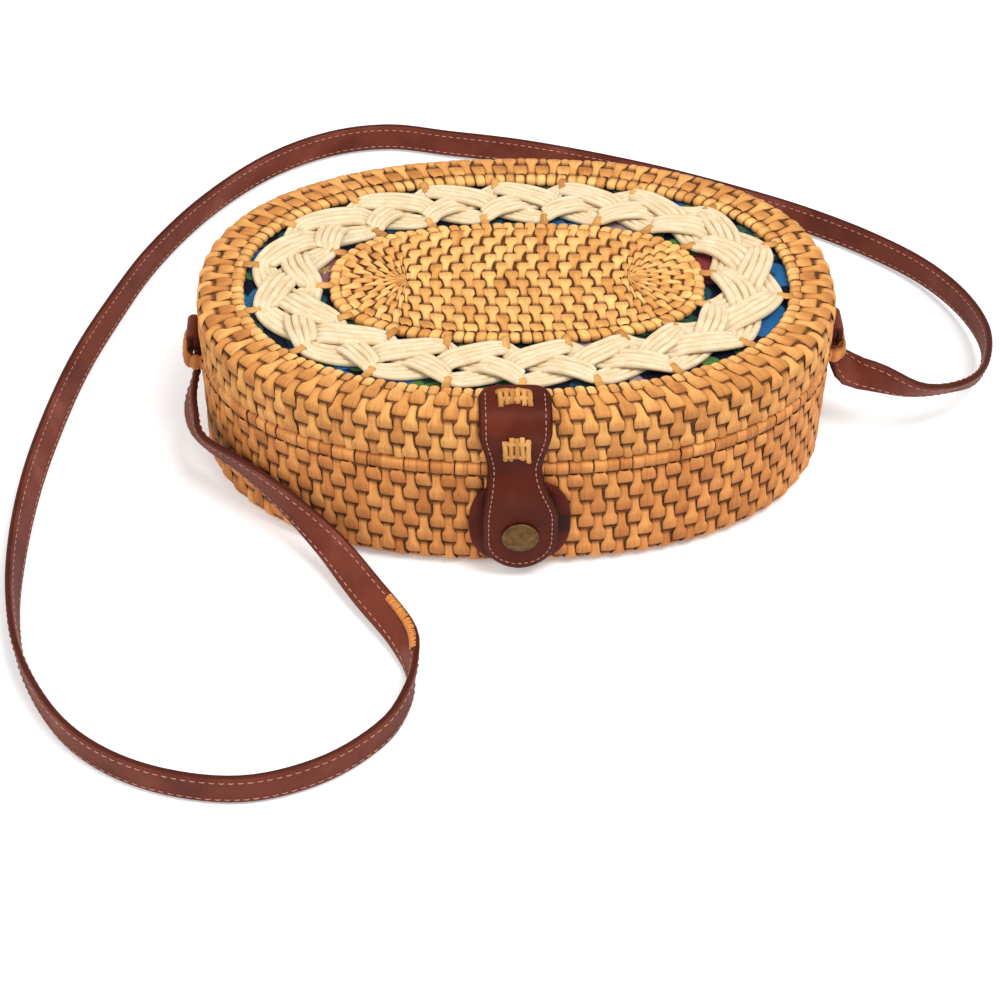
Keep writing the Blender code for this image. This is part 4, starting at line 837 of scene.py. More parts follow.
# %% Make the cord's finish
def cord_finish():
    """Make the cream finish of a soft twisted cord, with painted shade in its grooves."""
    look = Finish("cream_cord", roughness=0.75, specular=0.25)
    place = look.add("UVMap", uv_map="strip")
    number = look.add("VectorMath", {0: place}, operation="FLOOR")
    across = look.add("SeparateXYZ", {0: place}, out=0)
    along = look.add("SeparateXYZ", {0: place}, out=1)
    chance_here = look.add("TexWhiteNoise", {0: number}, noise_dimensions="2D")
    lay_lines = look.math("FRACT", look.math("ADD", look.math("MULTIPLY", across, 3.0),
                                             look.math("MULTIPLY", along, 0.14)))
    groove = look.math("ABSOLUTE", look.math("SUBTRACT", lay_lines, 0.5))
    moved = look.add("VectorMath", {0: place, 1: (14.0, 0.35, 1.0)}, operation="MULTIPLY")
    fibre = look.add("TexNoise", {"Vector": moved, "Scale": 1.0, "Detail": 4.0})
    tone = look.ramp(fibre, ((0.28, (0.86, 0.77, 0.56)), (0.46, (0.92, 0.85, 0.66)),
                             (0.70, (0.95, 0.90, 0.74))))
    # Painted shade: the cream is darker along the grooves of the twist.
    shade = look.ramp(groove, ((0.36, (1.0, 1.0, 1.0)), (0.50, (0.86, 0.78, 0.60))))
    colour = look.mix(0.6, tone, shade, "MULTIPLY")
    hue = look.ramp(chance_here, ((0.0, (0.93, 0.88, 0.78)), (1.0, (1.0, 1.0, 0.97))))
    colour = look.mix(1.0, colour, hue, "MULTIPLY")
    look.join("Base Color", look.mix(1.0, colour, (0.84, 0.75, 0.67), "MULTIPLY"))
    height = look.math("ADD", look.math("MULTIPLY", fibre, 0.6),
                       look.math("MULTIPLY", groove, -0.8))
    return look.bump(height, 0.35, 0.0004)


cream = cord_finish()
print("finish:", cream.name)

# %% Lay four cords in each strand
CORDS, CORD_SIDES = 4, 8
MIDDLE_CORD = (CORDS - 1) / 2
CORD_DRIFT, CORD_RISE = 0.00035, 0.00025
for strand, letter in enumerate("abc"):
    heap = Heap()
    for cord in range(CORDS):
        lane = (cord - MIDDLE_CORD) / MIDDLE_CORD * (STRAND_WIDTH - CORD_DIAMETER) / 2
        centres, sections = [], []
        for step, (centre, side, up, squeeze, fuller) in enumerate(strand_lines[strand]):
            turn = math.tau * step / len(strand_lines[strand])
            wander = Vector((math.cos(turn), math.sin(turn), cord * 3.1 + strand))
            drift = noise.noise(wander * 9.0) * CORD_DRIFT
            rise = noise.noise(wander * 11.0 + Vector((7.0, 0.0, 0.0))) * CORD_RISE
            middle = centre + side * (lane * squeeze * fuller + drift) + up * rise
            radius = CORD_DIAMETER / 2 * fuller
            centres.append(middle)
            ring = []
            for corner in range(CORD_SIDES):
                angle = math.tau * corner / CORD_SIDES
                ring.append(middle + side * (math.cos(angle) * radius)
                            + up * (math.sin(angle) * radius))
            sections.append(ring)
        tube(heap, centres, sections, (strand * CORDS + cord, 0.0), closed=True,
             lengths=400.0)
    heap.build("plait_cords_" + letter, "lid", cream, "plait_cord", "plait_strand_" + letter)

# %% [markdown]
# Where a strand turns back, a strip of vine ties its lobe to the rim or to the medallion. It
# comes out of the bound edge, goes over the first cords and dives between them. A lobe turns
# where the sine is at its end, so its station is found from that phase. A round tube would
# look like wire, so a tie is a flat ribbon.

# %% Tie the lobes down
TIE_HALF_WIDTH = 0.00145
heap = Heap()
number = 0
for strand in range(STRANDS):
    for period in range(PERIODS):
        for share, side_sign in ((0.25, 1), (0.75, -1)):
            centre = strand_lines[strand][round((period + share) * STEPS_A_PERIOD)][0]
            inner, outer = track_place(strand, math.tau * (period + share))
            out = (outer - inner).normalized() * side_sign
            along = out.cross(UP)
            bend = chance.uniform(-0.0006, 0.0006)
            edge = edge_room((outer - inner).length) / MM
            path = ((edge + 1.9, 0.9), (edge + 1.3, 1.45), (edge + 0.4, 1.40),
                    (edge - 0.8, 1.25), (edge - 2.2, 1.55), (edge - 3.4, 1.55),
                    (edge - 4.1, 0.90), (edge - 4.4, -0.80))
            rows, cells = [], []
            for step, (reach, rise) in enumerate(path):
                middle = centre + out * (reach * MM) + UP * (rise * MM)
                middle += along * (bend * step / len(path))
                row = []
                for place, crown in ((-1.0, -0.60), (-0.62, 0.06), (0.0, 0.0), (0.62, 0.06),
                                     (1.0, -0.60)):
                    row.append(middle + along * (place * TIE_HALF_WIDTH)
                               + UP * (crown * MM))
                rows.append(row)
                gone = 0.02 + 0.96 * step / (len(path) - 1)
                cells.append([(number + 0.02 + 0.24 * k, gone) for k in range(5)])
            heap.grid(rows, cells, flip=True)
            number += 1
heap.build("lobe_ties", "lid", tie_vine, "wrapped_rattan")
print("ties:", number)

# %% [markdown]
# ## Leather
# The tab and the strap are vegetable leather in a red brown, smooth with a fine grain of
# small cells, slow changes of tone and darker cut edges. The strap is a little paler than the
# tab, and the patch behind the tab is as dark. The finish takes its edge from the texture
# place: 0 and 1 are the cut edges. A picture of leather would need to be fitted round every
# bend. Cells and noise in space follow the piece as it is.

# %% Make the leather
LEATHER_GRAIN = 900.0


def leather_finish(name, deep, plain, pale, roughness):
    """Make a leather with fine grain and dark edges, from three tones."""
    look = Finish(name, roughness=roughness, specular=0.12)
    where = look.add("TexCoord", out=3)
    place = look.add("UVMap", uv_map="strip")
    across = look.add("SeparateXYZ", {0: place}, out=0)
    cells = look.add("TexVoronoi", {"Vector": where, "Scale": LEATHER_GRAIN},
                     feature="DISTANCE_TO_EDGE")
    broad = look.add("TexNoise", {"Vector": where, "Scale": 55.0, "Detail": 5.0})
    tone = look.ramp(broad, ((0.30, deep), (0.52, plain), (0.75, pale)))
    edge = look.math("ABSOLUTE", look.math("SUBTRACT", look.math("FRACT", across), 0.5))
    edge = look.ramp(edge, ((0.455, (0.0, 0.0, 0.0)), (0.485, (1.0, 1.0, 1.0))))
    dark = tuple(share * 0.45 for share in deep)
    look.join("Base Color", look.mix(look.math("MULTIPLY", edge, 0.85), tone, dark))
    pores = look.ramp(cells, ((0.0, (0.0, 0.0, 0.0)), (0.25, (1.0, 1.0, 1.0))))
    height = look.math("ADD", look.math("MULTIPLY", pores, 0.35), broad)
    return look.bump(height, 0.35, 0.0004)


tab_leather = leather_finish("tab_leather", (0.062, 0.008, 0.003), (0.088, 0.012, 0.004),
                             (0.120, 0.020, 0.008), 0.50)
strap_leather = leather_finish("strap_leather", (0.115, 0.022, 0.012), (0.165, 0.034, 0.018),
                               (0.24, 0.066, 0.042), 0.50)
patch_leather = leather_finish("patch_leather", (0.056, 0.007, 0.004), (0.088, 0.010, 0.005),
                               (0.120, 0.018, 0.009), 0.55)
print("finishes:", tab_leather.name, strap_leather.name, patch_leather.name)

# %% Make the thread
def thread_finish(name, pale, deep):
    """Make a sewing thread with a fine twist."""
    look = Finish(name, roughness=0.6, specular=0.3)
    where = look.add("TexCoord", out=3)
    twist = look.add("TexNoise", {"Vector": where, "Scale": 2400.0, "Detail": 2.0})
    look.join("Base Color", look.ramp(twist, ((0.35, deep), (0.65, pale))))
    return look.bump(twist, 0.5, 0.0002)


pale_thread = thread_finish("pale_thread", (0.56, 0.31, 0.24), (0.34, 0.16, 0.12))
orange_thread = thread_finish("orange_thread", (0.80, 0.33, 0.08), (0.50, 0.16, 0.03))
print("finishes:", pale_thread.name, orange_thread.name)

# %% [markdown]
# ## Stitches
# A stitch is a short thread that comes up, lies on the leather and goes down again. So each
# is a little bow: a tube of five sides through five points. A seam is many of them along a
# line of stations, with a gap between two stitches. A dashed line in the leather's finish
# would be quicker, but thread stands out and catches the light.

# %% Sew a line of stitches
def stitch(heap, start, end, out, thick, number):
    """Lay one stitch from start to end on a face that looks out."""
    way = (end - start).normalized()
    side = way.cross(out).normalized()
    centres, sections = [], []
    for share, rise, size in ((0.0, -0.6, 0.55), (0.14, 0.15, 0.9), (0.5, 0.42, 1.0),
                              (0.86, 0.15, 0.9), (1.0, -0.6, 0.55)):
        middle = start.lerp(end, share) + out * (rise * thick)
        centres.append(middle)
        sections.append([middle + (side * a + out * b) * (thick / 2 * size)
                         for a, b in ((1, 0), (0.5, 0.87), (-0.5, 0.87), (-1, 0),
                                      (0.0, -0.8))][::-1])
    tube(heap, centres, sections, (number, 0.0), lengths=100.0)


def seam(heap, line, pitch, thick, share=0.68):
    """Sew along a line of (place, outward) stations; return the number of stitches."""
    walked = [0.0]
    for (before, _), (here, _) in zip(line, line[1:]):
        walked.append(walked[-1] + (here - before).length)

    def at(distance):
        place = min(max(1, bisect.bisect_left(walked, distance)), len(walked) - 1)
        part = (distance - walked[place - 1]) / max(walked[place] - walked[place - 1], 1e-9)
        return [line[place - 1][k].lerp(line[place][k], part) for k in (0, 1)]

    count = int(walked[-1] / pitch)
    pitch = walked[-1] / count
    for step in range(count):
        start, out = at(step * pitch)
        end, _ = at((step + share) * pitch)
        stitch(heap, start, end, out.normalized(), thick, step)
    return count

# %% [markdown]
# ## The shoulder strap
# The strap is a flat double leather, 12 mm wide. It leaves the left loop, lies in front of
# the bag and goes all round it on the table, mostly standing on its edge as a stiff strap
# does, and ends at the right loop. Its route follows the photograph a little closer than its
# solid does. It is a list of points, each with the way in which the strap's width looks
# there. It is read as a smooth curve with stations at an even spacing. A curve object with a
# bevel would do for a round cord, but a flat band has to twist as the photograph shows, so it
# is swept with a width way of its own.

# %% Trace the strap's route
STRAP_ROUTE = (
    ((-0.1116, 0.0000, 0.0425), (0.00, -1.00, 0.00)),
    ((-0.1116, 0.0000, 0.0390), (0.00, -1.00, 0.02)),
    ((-0.1117, -0.0002, 0.0345), (0.05, -0.92, 0.38)),
    ((-0.1125, -0.0035, 0.0305), (0.15, -0.52, 0.84)),
    ((-0.1145, -0.0132, 0.0265), (0.32, -0.28, 0.90)),
    ((-0.1129, -0.0230, 0.0245), (0.19, -0.10, 0.97)),
    ((-0.1079, -0.0330, 0.0232), (-0.23, -0.30, 0.92)),
    ((-0.0951, -0.0442, 0.0222), (-0.10, -0.28, 0.96)),
    ((-0.0808, -0.0574, 0.0190), (0.21, -0.14, 0.97)),
    ((-0.0659, -0.0713, 0.0120), (0.53, 0.16, 0.83)),
    ((-0.0531, -0.0887, 0.0070), (0.72, 0.43, 0.52)),
    ((-0.0412, -0.1083, 0.0064), (0.62, 0.32, 0.72)),
    ((-0.0378, -0.1228, 0.0064), (0.20, 0.06, 0.98)),
    ((-0.0397, -0.1355, 0.0063), (0.00, 0.00, 1.00)),
    ((-0.0474, -0.1498, 0.0062), (0.00, 0.00, 1.00)),
    ((-0.0652, -0.1639, 0.0062), (0.00, 0.00, 1.00)),
    ((-0.0885, -0.1713, 0.0062), (0.00, 0.00, 1.00)),
    ((-0.1120, -0.1689, 0.0062), (0.00, 0.00, 1.00)),
    ((-0.1334, -0.1597, 0.0062), (0.00, 0.00, 1.00)),
    ((-0.1505, -0.1441, 0.0062), (0.00, 0.00, 1.00)),
    ((-0.1642, -0.1190, 0.0062), (-0.05, 0.00, 1.00)),
    ((-0.1702, -0.0931, 0.0061), (-0.14, 0.00, 0.99)),
    ((-0.1718, -0.0642, 0.0060), (-0.28, 0.00, 0.96)),
    ((-0.1703, -0.0329, 0.0060), (-0.34, 0.00, 0.94)),
    ((-0.1659, -0.0019, 0.0060), (-0.34, 0.00, 0.94)),
    ((-0.1593, 0.0292, 0.0060), (-0.30, -0.03, 0.95)),
    ((-0.1496, 0.0594, 0.0061), (-0.24, -0.05, 0.97)),
    ((-0.1370, 0.0910, 0.0063), (-0.15, -0.06, 0.98)),
    ((-0.1185, 0.1224, 0.0064), (-0.06, -0.05, 0.99)),
    ((-0.0950, 0.1488, 0.0065), (0.00, 0.00, 1.00)),
    ((-0.0700, 0.1645, 0.0065), (0.00, 0.00, 1.00)),
    ((-0.0450, 0.1695, 0.0065), (0.00, 0.00, 1.00)),
    ((-0.0200, 0.1645, 0.0065), (0.00, 0.00, 1.00)),
    ((0.0080, 0.1585, 0.0065), (0.00, 0.00, 1.00)),
    ((0.0370, 0.1495, 0.0065), (0.00, 0.00, 1.00)),
    ((0.0660, 0.1385, 0.0065), (0.00, 0.00, 1.00)),
    ((0.0940, 0.1255, 0.0065), (0.00, 0.00, 1.00)),
    ((0.1200, 0.1115, 0.0065), (0.00, 0.00, 1.00)),
    ((0.1430, 0.0955, 0.0066), (0.00, 0.00, 1.00)),
    ((0.1620, 0.0765, 0.0074), (0.00, 0.00, 1.00)),
    ((0.1738, 0.0540, 0.0092), (0.00, 0.02, 1.00)),
    ((0.1775, 0.0300, 0.0118), (0.00, -0.05, 1.00)),
    ((0.1717, 0.0100, 0.0141), (0.00, -0.42, 0.91)),
    ((0.1595, -0.0030, 0.0185), (0.00, -0.62, 0.78)),
    ((0.1442, -0.0075, 0.0208), (0.00, -0.50, 0.87)),
    ((0.1289, -0.0065, 0.0262), (0.00, 0.15, 0.99)),
    ((0.1197, -0.0025, 0.0268), (0.00, 0.65, 0.76)),
    ((0.1118, -0.0003, 0.0345), (0.00, 1.00, 0.00)),
    ((0.1116, 0.0000, 0.0390), (0.00, 1.00, 0.00)),
    ((0.1116, 0.0000, 0.0425), (0.00, 1.00, 0.00)),
)
print("points on the strap's route:", len(STRAP_ROUTE))

# %% Smooth the route
STEPS_A_LEG, STATION_SPACING = 12, 0.0040


def between(before, here, there, after, share):
    """Read a smooth curve between two of four vectors."""
    square, cube = share * share, share * share * share
    return (here * 2 + (there - before) * share
            + (before * 2 - here * 5 + there * 4 - after) * square
            + (here * 3 - before - there * 3 + after) * cube) / 2


def smooth_route(route, spacing):
    """Return (centre, width way) stations at an even spacing."""
    places = [Vector(place) for place, _ in route]
    ways = [Vector(way) for _, way in route]
    places = [places[0] * 2 - places[1], *places, places[-1] * 2 - places[-2]]
    ways = [ways[0], *ways, ways[-1]]
    fine = []
    for leg in range(1, len(places) - 2):
        for step in range(STEPS_A_LEG):
            share = step / STEPS_A_LEG
            fine.append((between(*places[leg - 1:leg + 3], share),
                         between(*ways[leg - 1:leg + 3], share)))
    fine.append((places[-2], ways[-2]))
    walked = [0.0]
    for (before, _), (here, _) in zip(fine, fine[1:]):
        walked.append(walked[-1] + (here - before).length)
    count = round(walked[-1] / spacing)
    even = []
    for step in range(count + 1):
        wanted = walked[-1] * step / count
        place = min(max(1, bisect.bisect_left(walked, wanted)), len(walked) - 1)
        share = (wanted - walked[place - 1]) / (walked[place] - walked[place - 1])
        even.append([fine[place - 1][k].lerp(fine[place][k], share) for k in (0, 1)])
    return even, walked[-1]


def band_frames(line):
    """Give each station its way along, width way and face way."""
    frames = []
    for place, (centre, width) in enumerate(line):
        before, after = line[max(place - 1, 0)][0], line[min(place + 1, len(line) - 1)][0]
        way = (after - before).normalized()
        width = (width - way * width.dot(way)).normalized()
        frames.append((centre, width, way.cross(width)))
    return frames


strap_line, strap_length = smooth_route(STRAP_ROUTE, STATION_SPACING)
strap_frames = band_frames(strap_line)
print("strap", round(strap_length, 3), "m")

# %% Sweep a leather band
BAND_SECTION = ((-1.0, 0.0), (-0.97, 0.62), (-0.90, 0.94), (-0.70, 1.0), (-0.30, 1.02),
                (0.30, 1.02), (0.70, 1.0), (0.90, 0.94), (0.97, 0.62), (1.0, 0.0),
                (0.97, -0.62), (0.90, -0.94), (0.70, -1.0), (0.30, -1.02), (-0.30, -1.02),
                (-0.70, -1.0), (-0.90, -0.94), (-0.97, -0.62))


def sweep_band(heap, frames, half_widths, half_depth, lengths=20.0):
    """Sweep the rounded section of a leather band; its texture place runs edge to edge."""
    rows, cells = [], []
    walked = 0.0
    for place, ((centre, width, face), wide) in enumerate(zip(frames, half_widths)):
        if place:
            walked += (centre - frames[place - 1][0]).length
        rows.append([centre + width * (a * wide) + face * (b * half_depth)
                     for a, b in BAND_SECTION])
        cells.append([(0.004 + 0.496 * (a + 1), walked * lengths) for a, _ in BAND_SECTION])
    first, size = len(heap.points), len(BAND_SECTION)
    heap.grid([row[::-1] + [row[-1]] for row in rows],
              [row[::-1] + [row[-1]] for row in cells])
    last = first + (len(rows) - 1) * (size + 1)
    heap.fan(list(range(first, first + size)), frames[0][0], (0.01, 0.0), True)
    heap.fan(list(range(last, last + size)), frames[-1][0], (0.01, 0.0))

# %% Lay the strap and sew it
STRAP_WIDTH, STRAP_THICKNESS = 0.0120, 0.0022
SEAM_PLACE, STRAP_STITCH, STRAP_THREAD = 0.0040, 0.0030, 0.00042
heap = Heap()
sweep_band(heap, strap_frames, [STRAP_WIDTH / 2] * len(strap_frames), STRAP_THICKNESS / 2)
strap = heap.build("strap", "base", strap_leather, "leather", "shoulder_strap")
heap = Heap()
for side in (-1, 1):
    for lane in (-1, 1):
        line = [(centre + width * (lane * SEAM_PLACE) + face * (side * STRAP_THICKNESS / 2),
                 face * side) for centre, width, face in strap_frames[1:-1]]
        stitches = seam(heap, line, STRAP_STITCH, STRAP_THREAD)
strap_stitches = heap.build("strap_stitches", "base", pale_thread, "thread")
print(stitches, "stitches a line")

# %% [markdown]
# Above each loop the strap's end is folded over, so it cannot slip back through. The fold is
# the same band swept along a narrow hairpin. It is a piece of its own, as its solid is.

# %% Fold the strap's ends
FOLD_MIDDLE, FOLD_RADIUS = 0.11275, 0.00115
X_WAY, Y_WAY = Vector((1.0, 0.0, 0.0)), Vector((0.0, 1.0, 0.0))
hairpin = [(0.1116, 0.0426), (0.1116, 0.0452), (0.1116, 0.0466)]
hairpin += [(FOLD_MIDDLE - FOLD_RADIUS * math.cos(math.radians(a)),
             0.0474 + FOLD_RADIUS * math.sin(math.radians(a)) * 0.6)
            for a in (20, 60, 90, 120, 160)]
hairpin += [(0.1139, 0.0466), (0.1139, 0.0452), (0.1139, 0.0430)]
for side, name in ((-1, "left"), (1, "right")):
    line = [(Vector((side * x, 0.0, z)), Y_WAY) for x, z in hairpin]
    heap = Heap()
    sweep_band(heap, band_frames(line), [STRAP_WIDTH / 2] * len(line), STRAP_THICKNESS / 2,
               lengths=60.0)
    heap.build("strap_fold_" + name, "base", strap_leather, "leather",
                                "strap_end_fold_" + name)

# %% [markdown]
# Where two lengths of leather meet, a patch of orange thread holds them: close rows of short
# stitches across the upper edge. They are laid side by side across a narrow band. Each is the
# small bow of a seam, only thicker.

# %% Sew the join
JOIN_PLACE, JOIN_STITCHES = Vector((-0.0425, -0.1065, 0.0064)), 30
JOIN_LOW, JOIN_HIGH, JOIN_THICKNESS = 0.0028, 0.0059, 0.0010
nearest = min(range(len(strap_frames)),
              key=lambda k: (strap_frames[k][0] - JOIN_PLACE).length)
join = strap_frames[nearest - 3:nearest + 4]
heap = Heap()
for step in range(JOIN_STITCHES):
    share = step / (JOIN_STITCHES - 1) * (len(join) - 1)
    place = min(int(share), len(join) - 2)
    centre, width, face = [join[place][k].lerp(join[place + 1][k], share - place)
                           for k in range(3)]
    surface = centre + face * (STRAP_THICKNESS / 2 + 0.0002)
    slope = chance.uniform(-0.0004, 0.0004)
    way = face.cross(width)
    stitch(heap, surface + width * JOIN_LOW, surface + width * JOIN_HIGH + way * slope,
           face, JOIN_THICKNESS, step)
join_thread = heap.build("join_thread", "base", orange_thread, "thread",
                         "strap_join_thread")

# %% [markdown]
# The strap's length was measured along its route. The stitches, the orange thread and the two
# folded ends lie on it.

print("declared:", strap.name, round(strap_length, 3), "m")

# %% [markdown]
# ## Wound loops and rings
# The strap hangs in two loops that are wound with vine, and at the back two lashings of a
# paler vine work as hinges. A wound piece is a tube whose surface rises and falls once for
# each turn of the winding. The turns lie aslant, so the rise also depends on the angle round
# the tube. A real strip could be wound round it as a helix, but on so small a piece a ribbed
# tube looks the same and has fewer faces.

# %% Wind a tube
STEPS_A_TURN, WOUND_SIDES = 7, 16


def wound(heap, path, half_wide, half_deep, pitch, wide_way, closed=False, slant=0.35,
          cell=0, seed=0.0):
    """Wind a flat tube with strips: path points, half sizes, and the way of its width."""
    walked = [0.0]
    for before, here in zip(path, path[1:] + ([path[0]] if closed else [])):
        walked.append(walked[-1] + (here - before).length)
    turns = max(3, round(walked[-1] / pitch))
    steps = turns * STEPS_A_TURN
    rows, cells = [], []
    for step in range(steps if closed else steps + 1):
        wanted = walked[-1] * step / steps
        place = min(max(1, bisect.bisect_left(walked, wanted)), len(walked) - 1)
        share = (wanted - walked[place - 1]) / (walked[place] - walked[place - 1])
        before, here = path[place - 1], path[place % len(path)]
        centre = before.lerp(here, share)
        way = (here - before).normalized()
        if share > 0.5 and (closed or place + 1 < len(path)):
            next_way = (path[(place + 1) % len(path)] - here).normalized()
            way = way.lerp(next_way, share - 0.5).normalized()
        wide = (wide_way - way * wide_way.dot(way)).normalized()
        deep = way.cross(wide)
        row, cell_row = [], []
        for side in range(WOUND_SIDES + 1):
            angle = math.tau * side / WOUND_SIDES
            turn = step / STEPS_A_TURN + slant * side / WOUND_SIDES
            groove = abs(math.sin(math.pi * turn)) ** 0.5
            jitter = noise.noise(Vector((math.floor(turn) * 1.7, seed, 0.3))) * 0.0002
            grow = -0.00055 + 0.0008 * groove + jitter
            row.append(centre + wide * ((half_wide + grow) * math.cos(angle))
                       + deep * ((half_deep + grow) * math.sin(angle)))
            cell_row.append((cell + turn, side / WOUND_SIDES))
        rows.append(row)
        cells.append(cell_row)
    if closed:
        rows.append(rows[0])
        cells.append([(u + turns, v) for u, v in cells[0]])
    heap.grid(rows, cells, flip=True)

# %% Trace a side loop and a hinge ring
LOOP_ROOT, LOOP_START, LOOP_REACH = 0.1073, 0.1103, 0.0048
LOOP_HALF, LOOP_LEVEL = 0.0086, 0.0392
HINGE_PLACE, HINGE_AXIS, HINGE_RADIUS = 0.0270, (0.0713, 0.0480), 0.0056


def loop_path(side):
    """Go out from the wall, along beside it and back, with round corners."""
    path = [Vector((side * LOOP_ROOT, LOOP_HALF, LOOP_LEVEL))]
    for step in range(15):
        angle = math.pi * step / 14
        along = math.copysign(abs(math.cos(angle)) ** 0.5, math.cos(angle))
        path.append(Vector((side * (LOOP_START + LOOP_REACH * abs(math.sin(angle)) ** 0.5),
                            LOOP_HALF * along, LOOP_LEVEL)))
    return path + [Vector((side * LOOP_ROOT, -LOOP_HALF, LOOP_LEVEL))]


def hinge_path(side):
    """Go once round the hinge's axis."""
    y, z = HINGE_AXIS
    return [Vector((side * HINGE_PLACE, y + HINGE_RADIUS * math.cos(math.tau * k / 36),
                    z + HINGE_RADIUS * math.sin(math.tau * k / 36))) for k in range(36)]

# %% Wind the side loops and the hinges
LOOP_WIDE, LOOP_DEEP, LOOP_PITCH = 0.0032, 0.0017, 0.0030
HINGE_WIDE, HINGE_DEEP, HINGE_PITCH = 0.0014, 0.0007, 0.0060
HINGE_STRIP_SPACING = 0.0026
for side, name in ((-1, "left"), (1, "right")):
    heap = Heap()
    wound(heap, loop_path(side), LOOP_WIDE, LOOP_DEEP, LOOP_PITCH, UP, seed=side * 3.0)
    heap.build("wound_loop_" + name, "base", loop_vine, "wrapped_rattan",
               "side_loop_" + name)
    heap = Heap()
    for strip in range(2):
        shift = X_WAY * ((strip - 0.5) * HINGE_STRIP_SPACING)
        wound(heap, [point + shift for point in hinge_path(side)], HINGE_WIDE, HINGE_DEEP,
              HINGE_PITCH, X_WAY, closed=True, slant=0.1, cell=strip * 9,
              seed=side + strip)
    heap.build("hinge_lashing_" + name, "lid", tie_vine, "ata_tie", "hinge_ring_" + name)

# %% [markdown]
# ## The leather tab
# One piece of leather is lashed to the rim, turns over the corner, runs down the front and
# ends in a round bulb with the snap. It is swept along its own middle line with its own width
# at each height. It crosses the line between lid and flap, and below that line it stands a
# little further out, over the patch and the snap. It could be cut flat and bent by a
# modifier, but a sweep gives the rounded edges and the corner at once.

# %% Give the tab its widths
ROOT_HALF_WIDTH, WAIST_HALF_WIDTH, WAIST = 0.0119, 0.0090, 0.048
BULB_HEIGHT, BULB_RADIUS = 0.0175, 0.0128
TAB_MIDDLE, SNAP_MIDDLE = -0.0034, -0.0012


def ease(share):
    """Go from 0 to 1 with a soft start and end."""
    share = min(1.0, max(0.0, share))
    return share * share * (3 - 2 * share)


def bulb_share(z):
    """Tell how far the tab has gone over from its waist to its bulb."""
    return ease((WAIST - z) / (0.70 * (WAIST - BULB_HEIGHT)))


def tab_half_width(z):
    """Half the tab's width: square root, waist and round bulb."""
    if z >= WAIST:
        return WAIST_HALF_WIDTH + 0.0029 * ease((z - 0.0475) / 0.0165)
    if z > BULB_HEIGHT:
        return WAIST_HALF_WIDTH + (BULB_RADIUS - WAIST_HALF_WIDTH) * bulb_share(z)
    return math.sqrt(max(BULB_RADIUS ** 2 - (BULB_HEIGHT - z) ** 2, 0.0))


print("waist and bulb:", [round(2000 * half, 1) for half in (tab_half_width(WAIST),
                                                             BULB_RADIUS)], "mm")

# %% Follow the tab over the corner and down the front
TAB_THICKNESS = 0.0024
TAB_TOP, TAB_CORNER, TAB_BEND = 0.0695, 0.0060, 0.0490
TAB_FRONT, FLAP_FRONT = -0.0735, -0.0762
tab_stations = []
for step in range(7):
    angle = math.pi / 2 * step / 6
    tab_stations.append(((-0.0580 - 0.0050 * (1 - math.cos(angle)), TAB_TOP), (0.0, 1.0),
                         ROOT_HALF_WIDTH - 0.0050 * (1 - math.sin(angle))))
for step in range(9):
    angle = math.pi / 2 * step / 8
    tab_stations.append(((-0.0675 - TAB_CORNER * math.sin(angle),
                          0.0635 + TAB_CORNER * math.cos(angle)),
                         (-math.sin(angle), math.cos(angle)), ROOT_HALF_WIDTH))
for step in range(1, 13):
    z = 0.0635 - 0.0145 * step / 12
    tab_stations.append(((TAB_FRONT, z), (-1.0, 0.0), tab_half_width(z)))
heights = [TAB_BEND - (TAB_BEND - BULB_HEIGHT) * step / 22 for step in range(1, 23)]
heights += [BULB_HEIGHT - BULB_RADIUS * math.sin(math.pi / 2 * step / 12)
            for step in range(1, 12)]
for z in heights:
    out = 0.0027 * ease((TAB_BEND - z) / 0.0110)
    tab_stations.append(((TAB_FRONT - out, z), (-1.0, 0.0), tab_half_width(z)))
tab_stations.append(((FLAP_FRONT, BULB_HEIGHT - BULB_RADIUS * 0.996), (-1.0, 0.0), 0.0014))
print("stations down the tab:", len(tab_stations))

# %% Sweep the tab
tab_frames = []
for (y, z), (out_y, out_z), _ in tab_stations:
    middle = TAB_MIDDLE + (SNAP_MIDDLE - TAB_MIDDLE) * bulb_share(z)
    tab_frames.append((Vector((middle, y, z)), X_WAY, Vector((0.0, out_y, out_z))))
tab_widths = [wide for _, _, wide in tab_stations]
heap = Heap()
sweep_band(heap, tab_frames, tab_widths, TAB_THICKNESS / 2)
tab = heap.build("tab", None, tab_leather, "leather", "tab_root", "tab_flap")

# %% [markdown]
# One seam runs all round the face of the tab, 2.2 mm from its edge: down one side, round the
# bulb and up the other. It starts just past the square end. It reads the tab's own stations,
# so it keeps its distance from the edge.

# %% Stitch the tab
SEAM_INSET, TAB_STITCH, TAB_THREAD, UNSEWN = 0.0022, 0.0022, 0.00036, 5
FRONT = Vector((0.0, -1.0, 0.0))


def tab_lane(inset):
    """Follow the tab's outline at an inset from its edge, once round its face."""
    left, right, bulb = [], [], []
    for (centre, across, out), wide in zip(tab_frames, tab_widths):
        if wide > inset and centre.z > BULB_HEIGHT:
            aside, face = Vector((wide - inset, 0, 0)), out * (TAB_THICKNESS / 2)
            left.append((centre - aside + face, out))
            right.append((centre + aside + face, out))
    radius = BULB_RADIUS - inset
    for step in range(13):
        angle = math.pi + math.pi * step / 12
        bulb.append((Vector((SNAP_MIDDLE + radius * math.cos(angle),
                             FLAP_FRONT - TAB_THICKNESS / 2,
                             BULB_HEIGHT + radius * math.sin(angle))), FRONT))
    return left[UNSEWN:] + bulb + right[UNSEWN:][::-1]


heap = Heap()
seam(heap, tab_lane(SEAM_INSET), TAB_STITCH, TAB_THREAD)
tab_stitches = heap.build("tab_stitches", None, pale_thread, "thread")
for piece in (tab, tab_stitches):
    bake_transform(piece)

